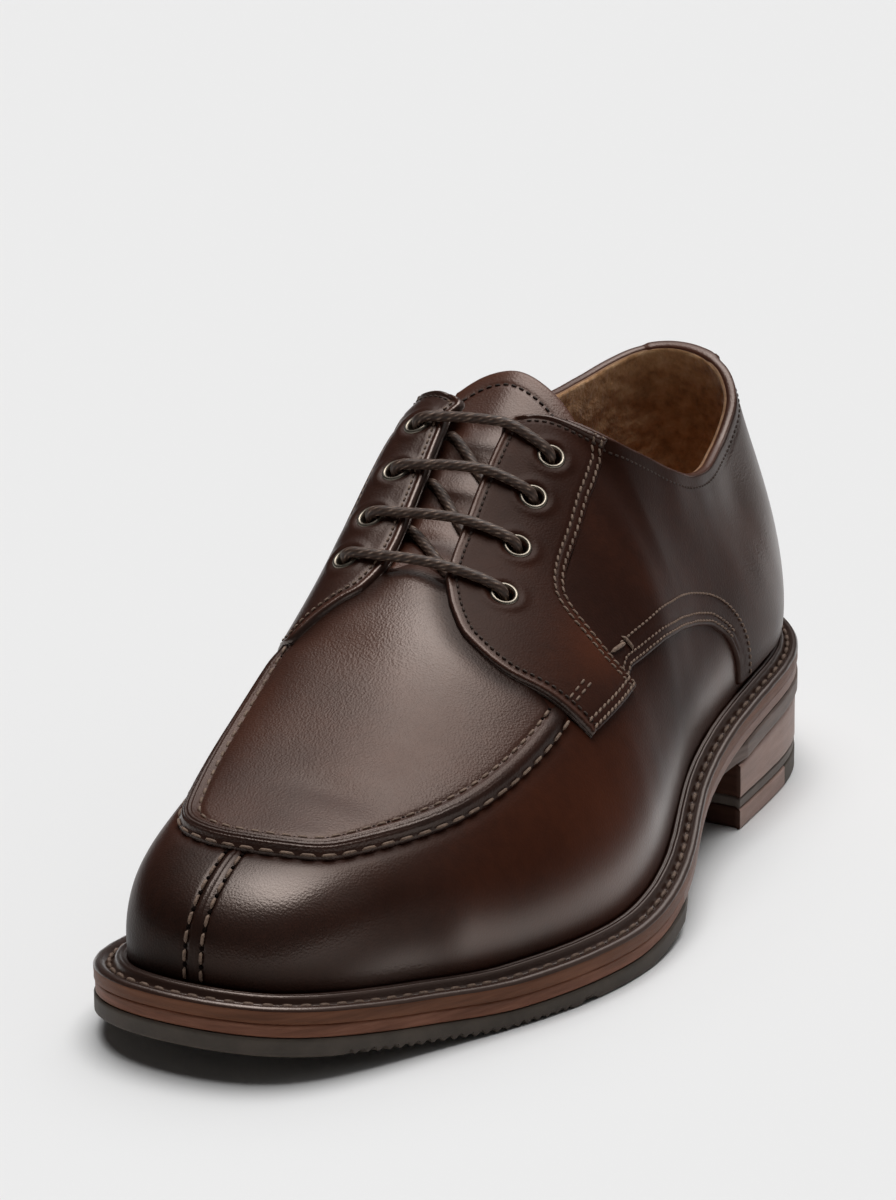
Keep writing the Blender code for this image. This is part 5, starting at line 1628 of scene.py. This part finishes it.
def saw(y):
    """Sawtooth tread under the forefoot and the notch behind it."""
    tooth = np.abs(((y / TREAD_PITCH) % 1.0) - 0.5) * 2
    teeth = fade(y, *TREAD_FRONT) * fade(y, *TREAD_BACK) * tooth * TREAD_DEPTH
    return teeth + np.clip((NOTCH_HALF - np.abs(y - NOTCH_AT)) / NOTCH_SLOPE, 0, 1) * NOTCH_DEPTH


def build_sole():
    """All layers from the midsole down, and the sock inside."""

    def below(depth, least=None):
        return lambda y: np.maximum(lookup(SOLE_LINE, y) - depth, -np.inf if least is None else least)

    def level(value):
        return lambda y: np.full_like(y, value)

    def waisted(y):
        front = fade(y, WAIST_START, WAIST_START + 24)
        return WAIST_INSET * front * fade(y, HEEL_BREAST + 4, HEEL_BREAST - 6)

    looks = {key: [LOOKS[name] for name in names.split()] for key, names in
             (("midsole", "midsole_edge waist_side"), ("outsole", "sole_rubber waist_edge"),
              ("heel", "heel_leather heel_front"), ("band", "heel_rubber"), ("tip", "sole_rubber"),
              ("sock", "sock_leather"))}
    slab("midsole_layer", level(0.35), below(MIDSOLE_LOW), below(MIDSOLE_TOP),
         looks["midsole"], "midsole", stations=260, split_y=WAIST_START)
    slab("outsole_rubber", waisted, below(OUTSOLE_LOW, 0.0), below(MIDSOLE_LOW + 0.1),
         looks["outsole"], "outsole", stations=900, tread=saw, split_y=WAIST_START + 6)
    slab("heel_stack", level(0.6), level(BAND_TOP), below(HEEL_SEAT),
         looks["heel"], "heel_lifts", HEEL_BREAST)
    slab("heel_rubber_band", level(0.75), level(BAND_LOW), level(BAND_TOP - 0.1),
         looks["band"], "heel_band", HEEL_BREAST)
    slab("heel_tip_rubber", level(0.6), level(0.0), level(TIP_TOP),
         looks["tip"], "heel_toplift_rubber", TIP_JOINT + 0.2)
    slab("heel_tip_leather", level(0.6), level(0.0), level(TIP_TOP),
         looks["heel"], "heel_toplift_leather", HEEL_BREAST, TIP_JOINT)
    slab("sock_liner", level(11.0), below(3.8), below(-0.2),
         looks["sock"], "insole", edge=1.0)


# Stage: floor, lights and camera

FLOOR_SIZE, FLOOR_GREY, WORLD_LIGHT = 8.0, 0.80, 0.035
CAMERA_AT = (0.6936, -1.2889, 0.5889)
CAMERA_YAW, CAMERA_PITCH, CAMERA_ROLL = 28.957, 19.142, -0.341
CAMERA_LENS = 180.015
# Far soft lights
# columns: name, azimuth from the toe, height and spread in degrees, watts per square metre
LIGHTS = (
    ("key", -155.0, 82.0, 46.0, 2.2),
    ("broad", -165.0, 58.0, 56.0, 0.95),
    ("side", 140.0, 48.0, 80.0, 0.28),
)


def build_floor():
    """A wide, pale and matt floor."""
    mesh = bpy.data.meshes.new("floor")
    corners = [(x * FLOOR_SIZE, y * FLOOR_SIZE, 0) for x, y in ((-1, -1), (1, -1), (1, 1), (-1, 1))]
    mesh.from_pydata(corners, [], [(0, 1, 2, 3)])
    grey = (FLOOR_GREY, FLOOR_GREY, FLOOR_GREY, 1.0)
    mesh.materials.append(Look("floor_paper").dressed(Base_Color=grey, Roughness=0.9, Specular_IOR_Level=0.0))
    floor = bpy.data.objects.new("floor", mesh)
    bpy.context.scene.collection.objects.link(floor)


def build_lights():
    """A dim white surrounding and three far lights."""
    world = bpy.data.worlds.new("studio")
    world.use_nodes = True
    background = world.node_tree.nodes["Background"]
    background.inputs["Color"].default_value = (1.0, 1.0, 1.0, 1.0)
    background.inputs["Strength"].default_value = WORLD_LIGHT
    bpy.context.scene.world = world
    for name, azimuth, height, angle, power in LIGHTS:
        light = bpy.data.lights.new(name, "SUN")
        light.energy = power
        light.angle = np.radians(angle)
        lamp = bpy.data.objects.new(name, light)
        azimuth, height = np.radians((azimuth, height))
        way = Vector((np.sin(azimuth) * np.cos(height), -np.cos(azimuth) * np.cos(height), np.sin(height)))
        lamp.rotation_euler = way.to_track_quat("Z", "Y").to_euler()
        bpy.context.scene.collection.objects.link(lamp)
    bpy.context.scene.view_settings.view_transform = "Standard"


def build_camera():
    """The photo's camera."""
    yaw, pitch, roll = np.radians([CAMERA_YAW, CAMERA_PITCH, CAMERA_ROLL])
    ahead = np.array([-np.sin(yaw) * np.cos(pitch), np.cos(yaw) * np.cos(pitch), -np.sin(pitch)])
    right = np.array([np.cos(yaw), np.sin(yaw), 0.0])
    up = np.cross(right, ahead)
    right, up = np.cos(roll) * right + np.sin(roll) * up, -np.sin(roll) * right + np.cos(roll) * up
    data = bpy.data.cameras.new("camera")
    data.lens = CAMERA_LENS
    data.sensor_width = 36.0
    data.sensor_fit = "AUTO"
    data.clip_end = 50.0
    camera = bpy.data.objects.new("camera", data)
    turn = Matrix([list(axis) for axis in zip(right, up, -ahead)]).to_4x4()
    camera.matrix_world = Matrix.Translation(CAMERA_AT) @ turn
    bpy.context.scene.collection.objects.link(camera)
    bpy.context.scene.camera = camera


build_upper()
build_plug()
for side in SIDES:
    build_eyestay(side)
    build_quarter(side)
    build_tacks(side)
build_back_strip()
build_collar()
build_tongue()
build_eyelets()
build_lace()
build_welt()
build_sole()
lay_stitches()
build_floor()
build_lights()
build_camera()

bpy.context.view_layer.update()
